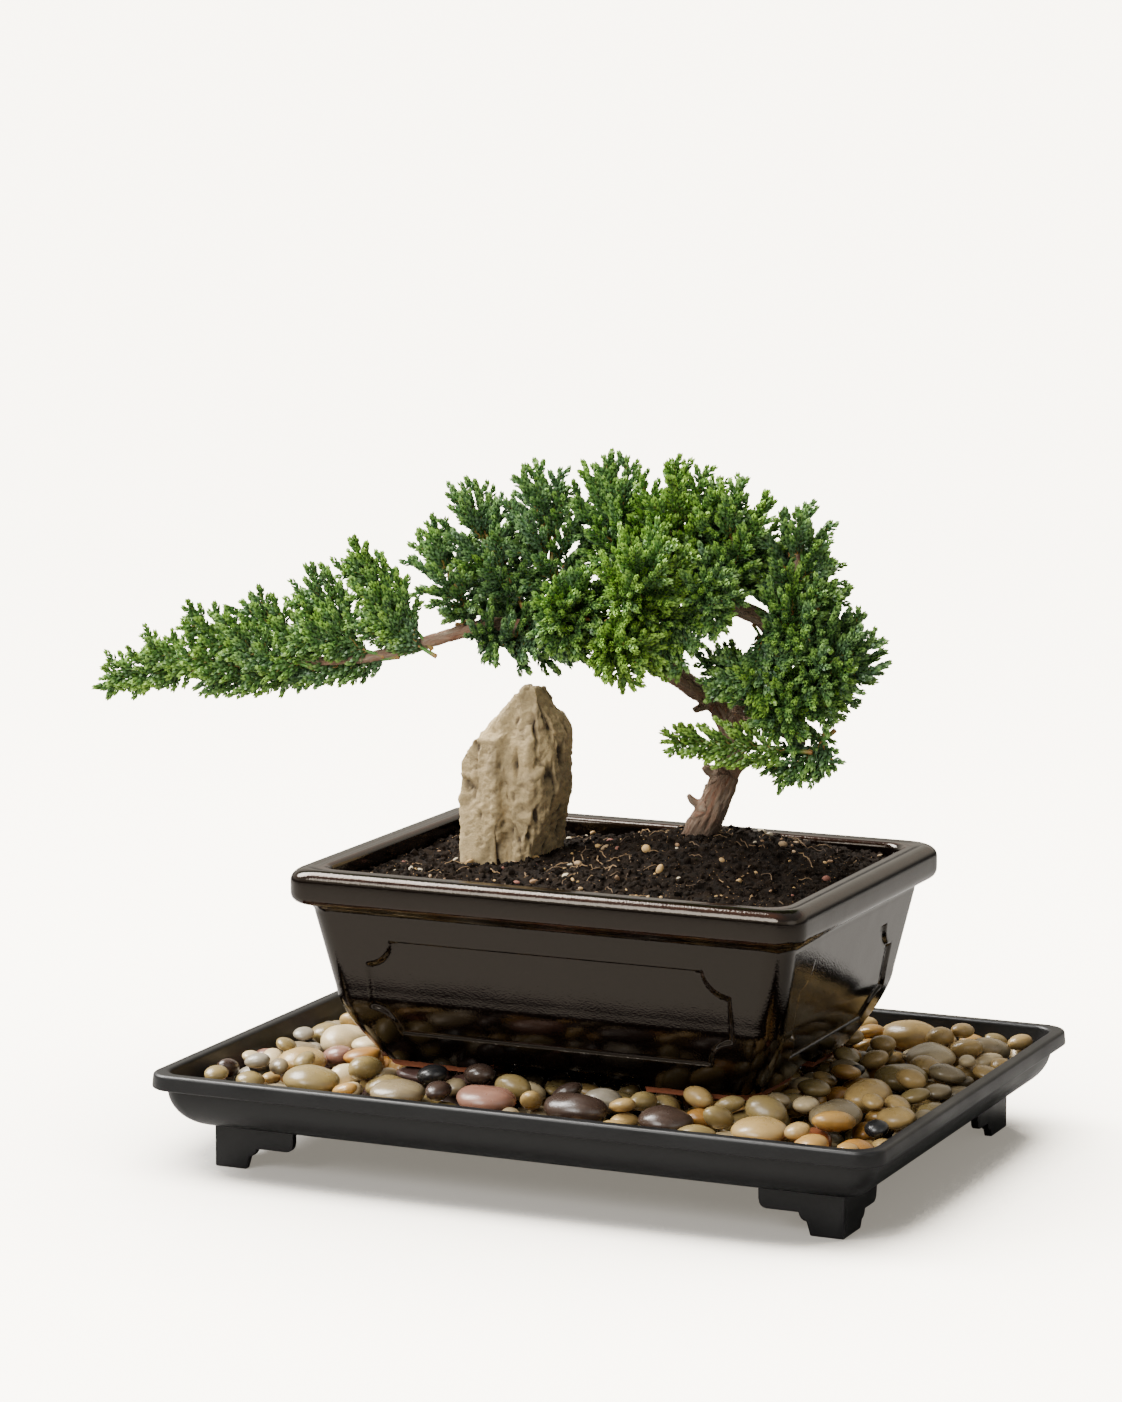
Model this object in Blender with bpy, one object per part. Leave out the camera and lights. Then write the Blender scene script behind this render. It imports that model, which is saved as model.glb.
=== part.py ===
"""Trained dwarf juniper in a glazed rectangular pot, standing on river pebbles in a footed humidity tray.

Metres, +Z up.  The origin lies on the surface that the tray stands on, midway between the tip of the
long low limb (-X) and the far end of the tray (+X), and midway between the tray's long sides.
"""

import math

import bmesh
import bpy
from mathutils import Matrix, Vector, noise

MM = 0.001

# Driving dimensions -----------------------------------------------------------------------------------
# Pot: outside sizes over the lip, heights from the bottom of its clay feet.
POT_LENGTH = 0.202
POT_WIDTH = 0.152
POT_HEIGHT = 0.076
POT_CORNER_RADIUS = 0.009
POT_WALL = 0.0055
POT_FLOOR = 0.006
LIP_HEIGHT = 0.013
LIP_WIDTH = 0.011
LIP_OVERHANG = 0.0066
POT_WALL_DRAFT = 0.0058
BELLY_HEIGHT = 0.0296
BELLY_INSET = 0.0155
POT_FOOT_HEIGHT = 0.006
POT_FOOT_LENGTH_X = 0.042
POT_FOOT_LENGTH_Y = 0.038
POT_FOOT_THICKNESS = 0.009
DRAIN_HOLE_RADIUS = 0.007
DRAIN_HOLE_SPACING = 0.090
PANEL_MARGIN = 0.0224
PANEL_NOTCH = 0.010
PANEL_DEPTH = 0.0011
PANEL_STEP = 0.0012
PANEL_TOP = 0.052
PANEL_BOTTOM = 0.014

# Humidity tray: its rim stands out beyond the pot by a margin on every side.
TRAY_MARGIN_X = 0.042
TRAY_MARGIN_Y = 0.031
TRAY_HEIGHT = 0.037
TRAY_CORNER_RADIUS = 0.0095
TRAY_WALL = 0.002
TRAY_RIM_WIDTH = 0.0055
TRAY_RIM_HEIGHT = 0.006
TRAY_RIM_OVERHANG = 0.0045
TRAY_FOOT_HEIGHT = 0.016
TRAY_BODY_INSET = 0.0185
TRAY_FOOT_THICKNESS = 0.003

# Filling.
PEBBLE_BED_TOP = 0.0275
PEBBLE_LENGTH = 0.028
PEBBLE_WIDTH = 0.021
PEBBLE_THICKNESS = 0.0125
SUPPORT_PEBBLE_LENGTH = 0.026
SUPPORT_PEBBLE_WIDTH = 0.017
SUPPORT_PEBBLE_THICKNESS = 0.0069
PEBBLE_ROW_SHARE_X = 0.12
PEBBLE_ROW_SHARE_Y = 0.08
PEBBLE_ROW_SPAN = 0.86
SOIL_LEVEL = 0.0685
SOIL_MOUND_HEIGHT = 0.0145
SOIL_MOUND_SPREAD = 0.048
DRAIN_MESH_SIDE = 0.026
DRAIN_MESH_THICKNESS = 0.0012

# Stone, and the depth that it is set into the soil.
STONE_WIDTH = 0.043
STONE_DEPTH = 0.044
STONE_HEIGHT = 0.073
STONE_BURIED = 0.0075
STONE_X = -0.0465
STONE_Y = 0.0125
STONE_LEAN = 0.0075
STONE_SHOULDER = 0.45

# Tree: where it stands in the pot, how far the long limb reaches from it, and its height over the soil.
TRUNK_X = 0.028
TRUNK_Y = 0.018
LIMB_REACH = 0.236
CROWN_HEIGHT = 0.143
TRUNK_RADIUS = 0.0068

FIT_GAP = 0.0003

# Derived sizes ----------------------------------------------------------------------------------------
TRAY_LENGTH = POT_LENGTH + 2.0 * TRAY_MARGIN_X
TRAY_WIDTH = POT_WIDTH + 2.0 * TRAY_MARGIN_Y
PLANTING_X = (LIMB_REACH - TRUNK_X - TRAY_LENGTH / 2.0) / 2.0
TRAY_FLOOR_TOP = TRAY_FOOT_HEIGHT + TRAY_WALL
POT_BASE = PEBBLE_BED_TOP + SUPPORT_PEBBLE_THICKNESS + 2.0 * FIT_GAP
POT_FLOOR_TOP = POT_FOOT_HEIGHT + POT_FLOOR
LIP_UNDERSIDE = POT_HEIGHT - LIP_HEIGHT
WALL_TOP = LIP_UNDERSIDE - 0.004
PANEL_HALF_X = POT_LENGTH / 2.0 - LIP_OVERHANG - PANEL_MARGIN
PANEL_HALF_Y = POT_WIDTH / 2.0 - LIP_OVERHANG - PANEL_MARGIN

# Nominal size at which the tree's own points are written down.
NOMINAL_REACH = 236.0
NOMINAL_CROWN = 143.0


def clear_scene():
    for thing in list(bpy.data.objects):
        bpy.data.objects.remove(thing, do_unlink=True)


def make_collection(name):
    collection = bpy.data.collections.new(name)
    bpy.context.scene.collection.children.link(collection)
    return collection


def make_material(name, colour, roughness, metallic=0.0):
    material = bpy.data.materials.new(name)
    material.use_nodes = True
    shader = material.node_tree.nodes["Principled BSDF"]
    shader.inputs["Base Color"].default_value = (*colour, 1.0)
    shader.inputs["Roughness"].default_value = roughness
    shader.inputs["Metallic"].default_value = metallic
    material.diffuse_color = (*colour, 1.0)
    return material


# Shape helpers ----------------------------------------------------------------------------------------

def object_from_bmesh(name, shape, collection, material=None):
    """Put a bmesh into a new object with its faces pointing out."""
    bmesh.ops.recalc_face_normals(shape, faces=shape.faces)
    mesh = bpy.data.meshes.new(name)
    shape.to_mesh(mesh)
    shape.free()
    mesh.shade_smooth()
    mesh.set_sharp_from_angle(angle=math.radians(35.0))
    thing = bpy.data.objects.new(name, mesh)
    collection.objects.link(thing)
    if material is not None:
        mesh.materials.append(material)
    return thing


def rounded_outline(half_x, half_y, radius, x_stops=(), y_stops=(), corner_steps=3):
    """Anticlockwise rounded rectangle with extra points at the given stops along its sides."""
    points = [(x, -half_y) for x in x_stops]
    sides = (
        (half_x - radius, radius - half_y, -90.0, [(half_x, y) for y in y_stops]),
        (half_x - radius, half_y - radius, 0.0, [(x, half_y) for x in reversed(x_stops)]),
        (radius - half_x, half_y - radius, 90.0, [(-half_x, y) for y in reversed(y_stops)]),
        (radius - half_x, radius - half_y, 180.0, []),
    )
    for centre_x, centre_y, first_angle, next_side in sides:
        for step in range(corner_steps + 1):
            angle = math.radians(first_angle + 90.0 * step / corner_steps)
            points.append((centre_x + radius * math.cos(angle), centre_y + radius * math.sin(angle)))
        points.extend(next_side)
    return points


def loft(name, rings, collection, material=None, close_centre=False):
    """Skin a stack of rings of equal count, with a flat cap or a centre point at its last ring."""
    shape = bmesh.new()
    rows = [[shape.verts.new(point) for point in ring] for ring in rings]
    count = len(rows[0])
    for lower, upper in zip(rows, rows[1:]):
        for index in range(count):
            following = (index + 1) % count
            shape.faces.new((lower[index], lower[following], upper[following], upper[index]))
    shape.faces.new(reversed(rows[0]))
    if close_centre:
        centre = sum((vertex.co for vertex in rows[-1]), Vector()) / count
        peak = shape.verts.new(centre)
        for index in range(count):
            shape.faces.new((rows[-1][index], rows[-1][(index + 1) % count], peak))
    else:
        shape.faces.new(rows[-1])
    return object_from_bmesh(name, shape, collection, material)


def box(name, low, high, collection):
    shape = bmesh.new()
    size = Vector(high) - Vector(low)
    centre = (Vector(high) + Vector(low)) / 2.0
    bmesh.ops.create_cube(shape, size=1.0, matrix=Matrix.Translation(centre) @ Matrix.Diagonal((*size, 1.0)))
    return object_from_bmesh(name, shape, collection)


def cylinder(name, centre, radius, height, collection, segments=20):
    shape = bmesh.new()
    bmesh.ops.create_cone(
        shape, cap_ends=True, segments=segments, radius1=radius, radius2=radius, depth=height,
        matrix=Matrix.Translation(centre),
    )
    return object_from_bmesh(name, shape, collection)


def evaluated_mesh(thing):
    depsgraph = bpy.context.evaluated_depsgraph_get()
    return bpy.data.meshes.new_from_object(thing.evaluated_get(depsgraph))


def combine(target, tools, operation):
    """Apply one Boolean for each tool to the target, then remove the tools."""
    for tool in tools:
        modifier = target.modifiers.new(operation.lower(), "BOOLEAN")
        modifier.operation = operation
        modifier.solver = "EXACT"
        modifier.object = tool
        mesh = evaluated_mesh(target)
        target.modifiers.remove(modifier)
        mesh.name = target.name
        target.data = mesh
    for tool in tools:
        bpy.data.objects.remove(tool, do_unlink=True)
    return target


def cut(target, tools):
    return combine(target, tools, "DIFFERENCE")


def join(target, tools):
    return combine(target, tools, "UNION")


def keep_main_body(thing):
    """Drop the crumbs that trimming can leave beside the main body."""
    shape = bmesh.new()
    shape.from_mesh(thing.data)
    unseen = set(shape.verts)
    bodies = []
    while unseen:
        front = [unseen.pop()]
        body = set(front)
        while front:
            vertex = front.pop()
            for edge in vertex.link_edges:
                other = edge.other_vert(vertex)
                if other in unseen:
                    unseen.remove(other)
                    body.add(other)
                    front.append(other)
        bodies.append(body)
    main_body = max(bodies, key=len)
    crumbs = [vertex for vertex in shape.verts if vertex not in main_body]
    bmesh.ops.delete(shape, geom=crumbs, context="VERTS")
    shape.to_mesh(thing.data)
    shape.free()
    return thing


def duplicate(thing):
    copy = bpy.data.objects.new(thing.name, thing.data.copy())
    cutters.objects.link(copy)
    return copy


def grown_copy(thing, gap):
    """A copy of a solid swollen along its normals, to cut a pocket that it fits with a gap."""
    shape = bmesh.new()
    shape.from_mesh(thing.data)
    bmesh.ops.remove_doubles(shape, verts=shape.verts, dist=1e-6)
    shape.normal_update()
    moves = [(vertex, vertex.normal.copy()) for vertex in shape.verts]
    for vertex, normal in moves:
        vertex.co += normal * gap
    copy = object_from_bmesh(thing.name + "_clearance", shape, cutters)
    copy.matrix_world = thing.matrix_world.copy()
    return copy


# Humidity tray ----------------------------------------------------------------------------------------

def tray_body_inset(z):
    """Inset of the tray's bowl below its rim, a quarter round that runs in to the flat bottom."""
    top = TRAY_HEIGHT - TRAY_RIM_HEIGHT
    fall = min(1.0, max(0.0, (top - z) / (top - TRAY_FOOT_HEIGHT)))
    swell = TRAY_BODY_INSET - TRAY_RIM_OVERHANG
    return TRAY_RIM_OVERHANG + swell * (1.0 - math.sqrt(1.0 - fall * fall))


def tray_ring(inset, z):
    outline = rounded_outline(
        TRAY_LENGTH / 2.0 - inset, TRAY_WIDTH / 2.0 - inset, TRAY_CORNER_RADIUS, corner_steps=4,
    )
    return [(PLANTING_X + x, y, z) for x, y in outline]


def foot_outline(leg, flange, shoulder, top):
    """One arm of an L-shaped foot: a full-height leg, a rounded shoulder and a flange beside it."""
    slope = 0.0015
    corner = 0.003
    return [
        (0.0, 0.0),
        (leg, 0.0),
        (leg + slope, shoulder - corner),
        (leg + slope + corner, shoulder),
        (flange - corner, shoulder),
        (flange - slope / 2.0, shoulder + corner / 2.0),
        (flange, shoulder + 2.0 * corner),
        (flange, top),
        (0.0, top),
    ]


def upright_plate(name, outline, thickness, placement):
    """A flat outline in the local XY plane, thickened to +Z, then placed in the world."""
    curve = bpy.data.curves.new(name, "CURVE")
    curve.dimensions = "2D"
    curve.fill_mode = "BOTH"
    curve.extrude = thickness / 2.0
    spline = curve.splines.new("POLY")
    spline.points.add(len(outline) - 1)
    for point, (x, y) in zip(spline.points, outline):
        point.co = (x, y, 0.0, 1.0)
    spline.use_cyclic_u = True
    guide = bpy.data.objects.new(name, curve)
    cutters.objects.link(guide)
    bpy.context.view_layer.update()
    mesh = evaluated_mesh(guide)
    bpy.data.objects.remove(guide, do_unlink=True)
    shape = bmesh.new()
    shape.from_mesh(mesh)
    bmesh.ops.remove_doubles(shape, verts=shape.verts, dist=1e-6)
    bmesh.ops.transform(shape, matrix=placement @ Matrix.Translation((0.0, 0.0, thickness / 2.0)),
                        verts=shape.verts)
    return object_from_bmesh(name, shape, cutters)


def make_tray_feet():
    """Eight plates, two at each corner, that meet in an L under the bowl."""
    reach_x = TRAY_LENGTH / 2.0 - TRAY_BODY_INSET - 0.001
    reach_y = TRAY_WIDTH / 2.0 - TRAY_BODY_INSET - 0.001
    top = TRAY_FOOT_HEIGHT + TRAY_WALL / 2.0
    long_arm = foot_outline(leg=0.0125, flange=0.032, shoulder=0.008, top=top)
    short_arm = foot_outline(leg=0.017, flange=0.033, shoulder=0.006, top=top)
    plates = []
    for side_x in (-1.0, 1.0):
        for side_y in (-1.0, 1.0):
            corner = Vector((PLANTING_X + side_x * reach_x, side_y * reach_y, 0.0))
            along_x = Matrix((
                (-side_x, 0.0, 0.0, corner.x),
                (0.0, 0.0, -side_y, corner.y),
                (0.0, 1.0, 0.0, 0.0),
                (0.0, 0.0, 0.0, 1.0),
            ))
            along_y = Matrix((
                (0.0, 0.0, -side_x, corner.x),
                (-side_y, 0.0, 0.0, corner.y),
                (0.0, 1.0, 0.0, 0.0),
                (0.0, 0.0, 0.0, 1.0),
            ))
            plates.append(upright_plate("foot_long_arm", long_arm, TRAY_FOOT_THICKNESS, along_x))
            plates.append(upright_plate("foot_short_arm", short_arm, TRAY_FOOT_THICKNESS, along_y))
    return plates


def tray_inner_inset(z):
    return tray_body_inset(z - TRAY_WALL * 0.6) + TRAY_WALL


def make_tray(collection):
    black_plastic = make_material("tray_plastic", (0.018, 0.018, 0.020), 0.42)
    rim_bottom = TRAY_HEIGHT - TRAY_RIM_HEIGHT
    bowl_heights = [rim_bottom - step / 5.0 * (rim_bottom - TRAY_FOOT_HEIGHT) for step in range(1, 6)]
    rings = [tray_ring(tray_body_inset(z), z) for z in reversed(bowl_heights)]
    rings += [
        tray_ring(TRAY_RIM_OVERHANG, rim_bottom),
        tray_ring(0.0006, rim_bottom),
        tray_ring(0.0, rim_bottom + 0.0008),
        tray_ring(0.0, TRAY_HEIGHT - 0.0010),
        tray_ring(0.0010, TRAY_HEIGHT),
        tray_ring(TRAY_RIM_WIDTH - 0.0008, TRAY_HEIGHT),
        tray_ring(TRAY_RIM_WIDTH, TRAY_HEIGHT - 0.0008),
    ]
    inner_heights = [rim_bottom] + [z + TRAY_WALL for z in bowl_heights[1:]]
    rings += [tray_ring(tray_inner_inset(z), z) for z in inner_heights]
    tray = loft("humidity_tray", rings, collection, black_plastic)
    return join(tray, make_tray_feet())


# Pot --------------------------------------------------------------------------------------------------

def pot_wall_inset(height):
    """Inset of the outer wall from the lip's outside, at a height over the pot's feet."""
    if height >= BELLY_HEIGHT:
        share = (WALL_TOP - height) / (WALL_TOP - BELLY_HEIGHT)
        return LIP_OVERHANG + POT_WALL_DRAFT * max(0.0, share)
    fall = (BELLY_HEIGHT - height) / BELLY_HEIGHT
    return LIP_OVERHANG + POT_WALL_DRAFT + BELLY_INSET * fall ** 1.5


def panel_reach(height, half_panel):
    """Half-length of the sunk panel at a height; it is shorter in the notched bands at top and bottom."""
    if not PANEL_BOTTOM + PANEL_STEP <= height <= PANEL_TOP - PANEL_STEP:
        return -1.0
    notch = PANEL_NOTCH + PANEL_STEP
    if PANEL_BOTTOM + notch <= height <= PANEL_TOP - notch:
        return half_panel - PANEL_STEP
    return half_panel - notch


def panel_stops(half_panel, straight):
    """Places along a wall where the panel's edges need points, drawn in where the wall is shorter."""
    edges = [half_panel, half_panel - PANEL_STEP, half_panel - PANEL_NOTCH,
             half_panel - PANEL_NOTCH - PANEL_STEP]
    squeeze = min(1.0, 0.98 * straight / half_panel)
    return [-edge * squeeze for edge in edges] + [edge * squeeze for edge in reversed(edges)]


def pot_ring(inset, height, sunk=False, gap=0.0):
    """One level of the pot; a sunk ring is pressed in where the panel lies."""
    half_x = POT_LENGTH / 2.0 - inset - gap
    half_y = POT_WIDTH / 2.0 - inset - gap
    outline = rounded_outline(
        half_x, half_y, POT_CORNER_RADIUS,
        panel_stops(PANEL_HALF_X, half_x - POT_CORNER_RADIUS),
        panel_stops(PANEL_HALF_Y, half_y - POT_CORNER_RADIUS),
    )
    tolerance = 1e-6
    ring = []
    for x, y in outline:
        if sunk and abs(abs(y) - half_y) < tolerance:
            if abs(x) <= panel_reach(height, PANEL_HALF_X) + tolerance:
                y -= math.copysign(PANEL_DEPTH, y)
        elif sunk and abs(abs(x) - half_x) < tolerance:
            if abs(y) <= panel_reach(height, PANEL_HALF_Y) + tolerance:
                x -= math.copysign(PANEL_DEPTH, x)
        ring.append((PLANTING_X + x, y, POT_BASE + height))
    return ring


def pot_inner_profile():
    """Insets and heights of the inside, from the lip down to the floor."""
    levels = [WALL_TOP - 0.002, BELLY_HEIGHT, 0.019]
    profile = [(LIP_WIDTH, POT_HEIGHT - 0.003)]
    profile += [(pot_wall_inset(height) + POT_WALL, height) for height in levels]
    profile.append((pot_wall_inset(POT_FLOOR_TOP) + POT_WALL, POT_FLOOR_TOP))
    return profile


def make_pot(collection):
    glaze = make_material("pot_glaze", (0.022, 0.014, 0.011), 0.07)
    foot_inset = LIP_OVERHANG + POT_WALL_DRAFT + BELLY_INSET - 0.0012
    wall_levels = [0.005, 0.009, PANEL_BOTTOM, PANEL_BOTTOM + PANEL_STEP]
    wall_levels += [PANEL_BOTTOM + PANEL_NOTCH, PANEL_BOTTOM + PANEL_NOTCH + PANEL_STEP, BELLY_HEIGHT]
    wall_levels += [PANEL_TOP - PANEL_NOTCH - PANEL_STEP, PANEL_TOP - PANEL_NOTCH]
    wall_levels += [PANEL_TOP - PANEL_STEP, PANEL_TOP, WALL_TOP]
    rings = [pot_ring(foot_inset, 0.0)]
    rings += [pot_ring(pot_wall_inset(level), level, sunk=True) for level in wall_levels]
    lip_profile = [
        (LIP_OVERHANG - 0.0008, LIP_UNDERSIDE - 0.0015),
        (0.0030, LIP_UNDERSIDE - 0.0005),
        (0.0009, LIP_UNDERSIDE + 0.0015),
        (0.0, LIP_UNDERSIDE + 0.0045),
        (0.0, POT_HEIGHT - 0.0035),
        (0.0010, POT_HEIGHT - 0.0010),
        (0.0032, POT_HEIGHT),
        (LIP_WIDTH - 0.0030, POT_HEIGHT - 0.0004),
    ]
    rings += [pot_ring(inset, height) for inset, height in lip_profile]
    rings += [pot_ring(inset, height) for inset, height in pot_inner_profile()]
    pot = loft("pot", rings, collection, glaze)
    return cut(pot, pot_cutters(foot_inset))


def pot_cutters(foot_inset):
    """The recess under the floor, the arches between the feet, and the drain holes."""
    half_x = POT_LENGTH / 2.0 - foot_inset
    half_y = POT_WIDTH / 2.0 - foot_inset
    beyond = 0.02
    low = POT_BASE - beyond
    roof = POT_BASE + POT_FOOT_HEIGHT
    arch_x = half_x - POT_FOOT_LENGTH_X
    arch_y = half_y - POT_FOOT_LENGTH_Y
    recess_x = half_x - POT_FOOT_THICKNESS
    recess_y = half_y - POT_FOOT_THICKNESS
    reaches = {
        "recess": (recess_x, recess_y),
        "arch_x": (arch_x, half_y + beyond),
        "arch_y": (half_x + beyond, arch_y),
    }
    tools = []
    for name, (x, y) in reaches.items():
        tools.append(box(name, (PLANTING_X - x, -y, low), (PLANTING_X + x, y, roof), cutters))
    for side in (-1.0, 1.0):
        centre = (PLANTING_X + side * DRAIN_HOLE_SPACING / 2.0, 0.0, POT_BASE + POT_FLOOR_TOP / 2.0)
        tools.append(cylinder("drain_hole", centre, DRAIN_HOLE_RADIUS, 2.0 * POT_FLOOR_TOP, cutters))
    return tools


def make_drain_meshes(collection):
    """A square of plastic mesh over each drain hole; its pores are too fine to model here."""
    plastic = make_material("drain_mesh_plastic", (0.03, 0.03, 0.03), 0.6)
    half = DRAIN_MESH_SIDE / 2.0
    low = POT_BASE + POT_FLOOR_TOP + FIT_GAP
    for number, side in ((1, -1.0), (2, 1.0)):
        centre_x = PLANTING_X + side * DRAIN_HOLE_SPACING / 2.0
        sheet = box(f"drain_mesh_{number}", (centre_x - half, -half, low),
                    (centre_x + half, half, low + DRAIN_MESH_THICKNESS), collection)
        sheet.data.materials.append(plastic)


# Stone and soil ---------------------------------------------------------------------------------------

def soil_height(x, y):
    """World height of the soil at a place given from the pot's centre."""
    away = math.hypot(x - TRUNK_X, y - TRUNK_Y) / SOIL_MOUND_SPREAD
    ripple = 0.0007 * math.sin(95.0 * x + 1.0) * math.sin(120.0 * y)
    return POT_BASE + SOIL_LEVEL + SOIL_MOUND_HEIGHT * math.exp(-away * away) + ripple


def make_soil(collection):
    dark_earth = make_material("potting_soil", (0.045, 0.030, 0.022), 0.95)
    inner = [(inset, height) for inset, height in reversed(pot_inner_profile()) if height < SOIL_LEVEL]
    rings = []
    for inset, height in inner:
        lift = FIT_GAP if height == inner[0][1] else 0.0
        rings.append([(x, y, z + lift) for x, y, z in pot_ring(inset, height, gap=1.5 * FIT_GAP)])
    edge_ring = pot_ring(LIP_WIDTH + 0.0008, SOIL_LEVEL, gap=1.5 * FIT_GAP)
    peak = (PLANTING_X + TRUNK_X, TRUNK_Y)
    for share in (1.0, 0.88, 0.74, 0.60, 0.46, 0.32, 0.18):
        ring = []
        for x, y, _ in edge_ring:
            x = peak[0] + (x - peak[0]) * share
            y = peak[1] + (y - peak[1]) * share
            ring.append((x, y, soil_height(x - PLANTING_X, y)))
        rings.append(ring)
    return loft("soil", rings, collection, dark_earth, close_centre=True)


def make_stone(collection):
    """An upright weathered stone: a blunt block that narrows and leans towards its top."""
    grey_tan = make_material("weathered_stone", (0.36, 0.31, 0.23), 0.85)
    shape = bmesh.new()
    bmesh.ops.create_icosphere(shape, subdivisions=3, radius=1.0)
    for vertex in shape.verts:
        direction = vertex.co.normalized()
        blunt = sum(abs(part) ** 3.0 for part in direction) ** (-1.0 / 3.0)
        x, y, z = direction * blunt
        upward = max(0.0, z)
        narrow = 1.0 - 0.34 * upward ** 2.2
        shoulder = 1.0 - STONE_SHOULDER * max(0.0, -x) * upward
        furrow = 1.0 - 0.05 * math.cos(7.0 * math.atan2(y, x)) + 0.09 * noise.noise(direction * 1.9)
        vertex.co = (
            STONE_WIDTH / 2.0 * x * narrow * furrow + STONE_LEAN * upward ** 1.5,
            STONE_DEPTH / 2.0 * y * narrow * furrow,
            STONE_HEIGHT / 2.0 * z * shoulder,
        )
    stone = object_from_bmesh("stone", shape, collection, grey_tan)
    foot = soil_height(STONE_X, STONE_Y) - STONE_BURIED
    stone.data.transform(Matrix.Translation((PLANTING_X + STONE_X, STONE_Y, foot + STONE_HEIGHT / 2.0)))
    return stone


# Tree -------------------------------------------------------------------------------------------------
# Points of the wood and foliage are in millimetres from where the trunk leaves the soil, for a tree of
# the nominal reach and crown height; the last value of a wood point is the wood's radius there.

TRUNK_AND_ARCH = [
    (-6, 0, -13, 6.8), (-3, 0, 0, 6.8), (3.5, 0, 13, 5.6), (9, 0, 28, 4.9), (10, -1, 40, 4.5),
    (17, -2, 51, 4.1), (27, -6, 62, 3.7), (32, -10, 74, 3.4), (28, -13, 83, 3.2), (18, -15, 88, 3.0),
    (7, -16, 92, 2.6), (-8, -18, 96, 2.0), (-23, -18, 99, 1.5),
]
LONG_LIMB = [
    (11, 0, 34, 3.6), (5, -2, 49, 3.8), (-6, -5, 57, 3.7), (-20, -10, 66, 3.4), (-38, -14, 72, 3.1),
    (-59, -18, 75, 2.8), (-77, -22, 77, 2.6), (-95, -25, 72, 2.4), (-116, -27, 65, 2.1), (-136, -29, 61, 1.8),
    (-161, -30, 59, 1.5), (-186, -30, 56, 1.2), (-212, -30, 52, 0.9),
]
BRANCHES = [
    [(31, -9, 71, 2.0), (37, -12, 92, 1.5), (42, -14, 112, 1.1)],
    [(24, -5, 58, 2.4), (42, -11, 64, 1.8), (60, -16, 72, 1.2)],
    [(15, -2, 46, 2.2), (32, -14, 44, 1.7), (46, -20, 40, 1.2)],
    [(-18, -9, 65, 2.2), (-17, -28, 76, 1.7), (-15, -42, 86, 1.2)],
    [(12, -15, 90, 2.1), (6, 6, 98, 1.6), (2, 22, 106, 1.1)],
    [(0, -17, 94, 1.9), (-8, -16, 112, 1.4), (-12, -17, 126, 1.0)],
]

# Each spray of foliage: its name, where it grows from, where its tip is, its breadth and its thickness.
SPRAYS = [
    ("foliage_limb_tip", (-188, -30, 56), (-236, -30, 44), 18, 14),
    ("foliage_limb_side_1", (-168, -28, 62), (-200, -32, 73), 18, 14),
    ("foliage_limb_side_2", (-150, -27, 64), (-178, -29, 80), 20, 16),
    ("foliage_limb_side_3", (-134, -28, 64), (-150, -28, 95), 24, 18),
    ("foliage_limb_under", (-156, -29, 54), (-198, -27, 47), 15, 11),
    ("foliage_limb_rise_1", (-104, -27, 69), (-131, -28, 109), 30, 24),
    ("foliage_limb_rise_2", (-84, -23, 80), (-103, -26, 114), 24, 22),
    ("foliage_limb_rise_3", (-66, -20, 84), (-91, -24, 131), 30, 28),
    ("foliage_limb_rise_4", (-50, -20, 86), (-60, -22, 140), 28, 30),
    ("foliage_limb_fill", (-88, -23, 74), (-36, -16, 70), 28, 22),
    ("foliage_limb_back", (-70, -14, 76), (-92, 2, 96), 26, 22),
    ("foliage_crown_1", (-22, -18, 98), (-35, -18, 143), 34, 34),
    ("foliage_crown_2", (-4, -18, 100), (-2, -18, 143), 34, 36),
    ("foliage_crown_3", (14, -18, 98), (20, -18, 137), 28, 34),
    ("foliage_crown_4", (36, -13, 92), (46, -15, 128), 24, 26),
    ("foliage_front_1", (-18, -36, 92), (8, -46, 116), 38, 32),
    ("foliage_front_2", (-44, -32, 90), (-22, -44, 84), 34, 30),
    ("foliage_front_3", (-26, -40, 78), (8, -46, 64), 32, 28),
    ("foliage_right_1", (34, -16, 80), (61, -20, 97), 28, 30),
    ("foliage_right_2", (42, -16, 66), (76, -20, 80), 34, 34),
    ("foliage_right_3", (34, -18, 60), (60, -24, 45), 34, 32),
    ("foliage_right_4", (14, -20, 66), (26, -24, 44), 28, 26),
    ("foliage_low_sprig", (38, -25, 39), (-8, -24, 39), 14, 11),
    ("foliage_low_tuft", (50, -20, 38), (33, -22, 24), 15, 12),
    ("foliage_back_1", (-26, 4, 94), (-38, 26, 112), 34, 32),
    ("foliage_back_2", (2, 8, 92), (2, 32, 116), 34, 34),
    ("foliage_back_3", (28, 4, 84), (38, 26, 102), 32, 32),
    ("foliage_back_4", (36, -2, 60), (58, 16, 68), 32, 32),
]


def tree_point(x, y, z):
    """World place of a point of the tree, stretched to the tree's own reach and height."""
    stretch_x = LIMB_REACH / MM / NOMINAL_REACH
    stretch_z = CROWN_HEIGHT / MM / NOMINAL_CROWN
    soil_top = POT_BASE + SOIL_LEVEL + SOIL_MOUND_HEIGHT
    return Vector((
        PLANTING_X + TRUNK_X + x * MM * stretch_x,
        TRUNK_Y + y * MM * stretch_x,
        soil_top + z * MM * stretch_z,
    ))


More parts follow.
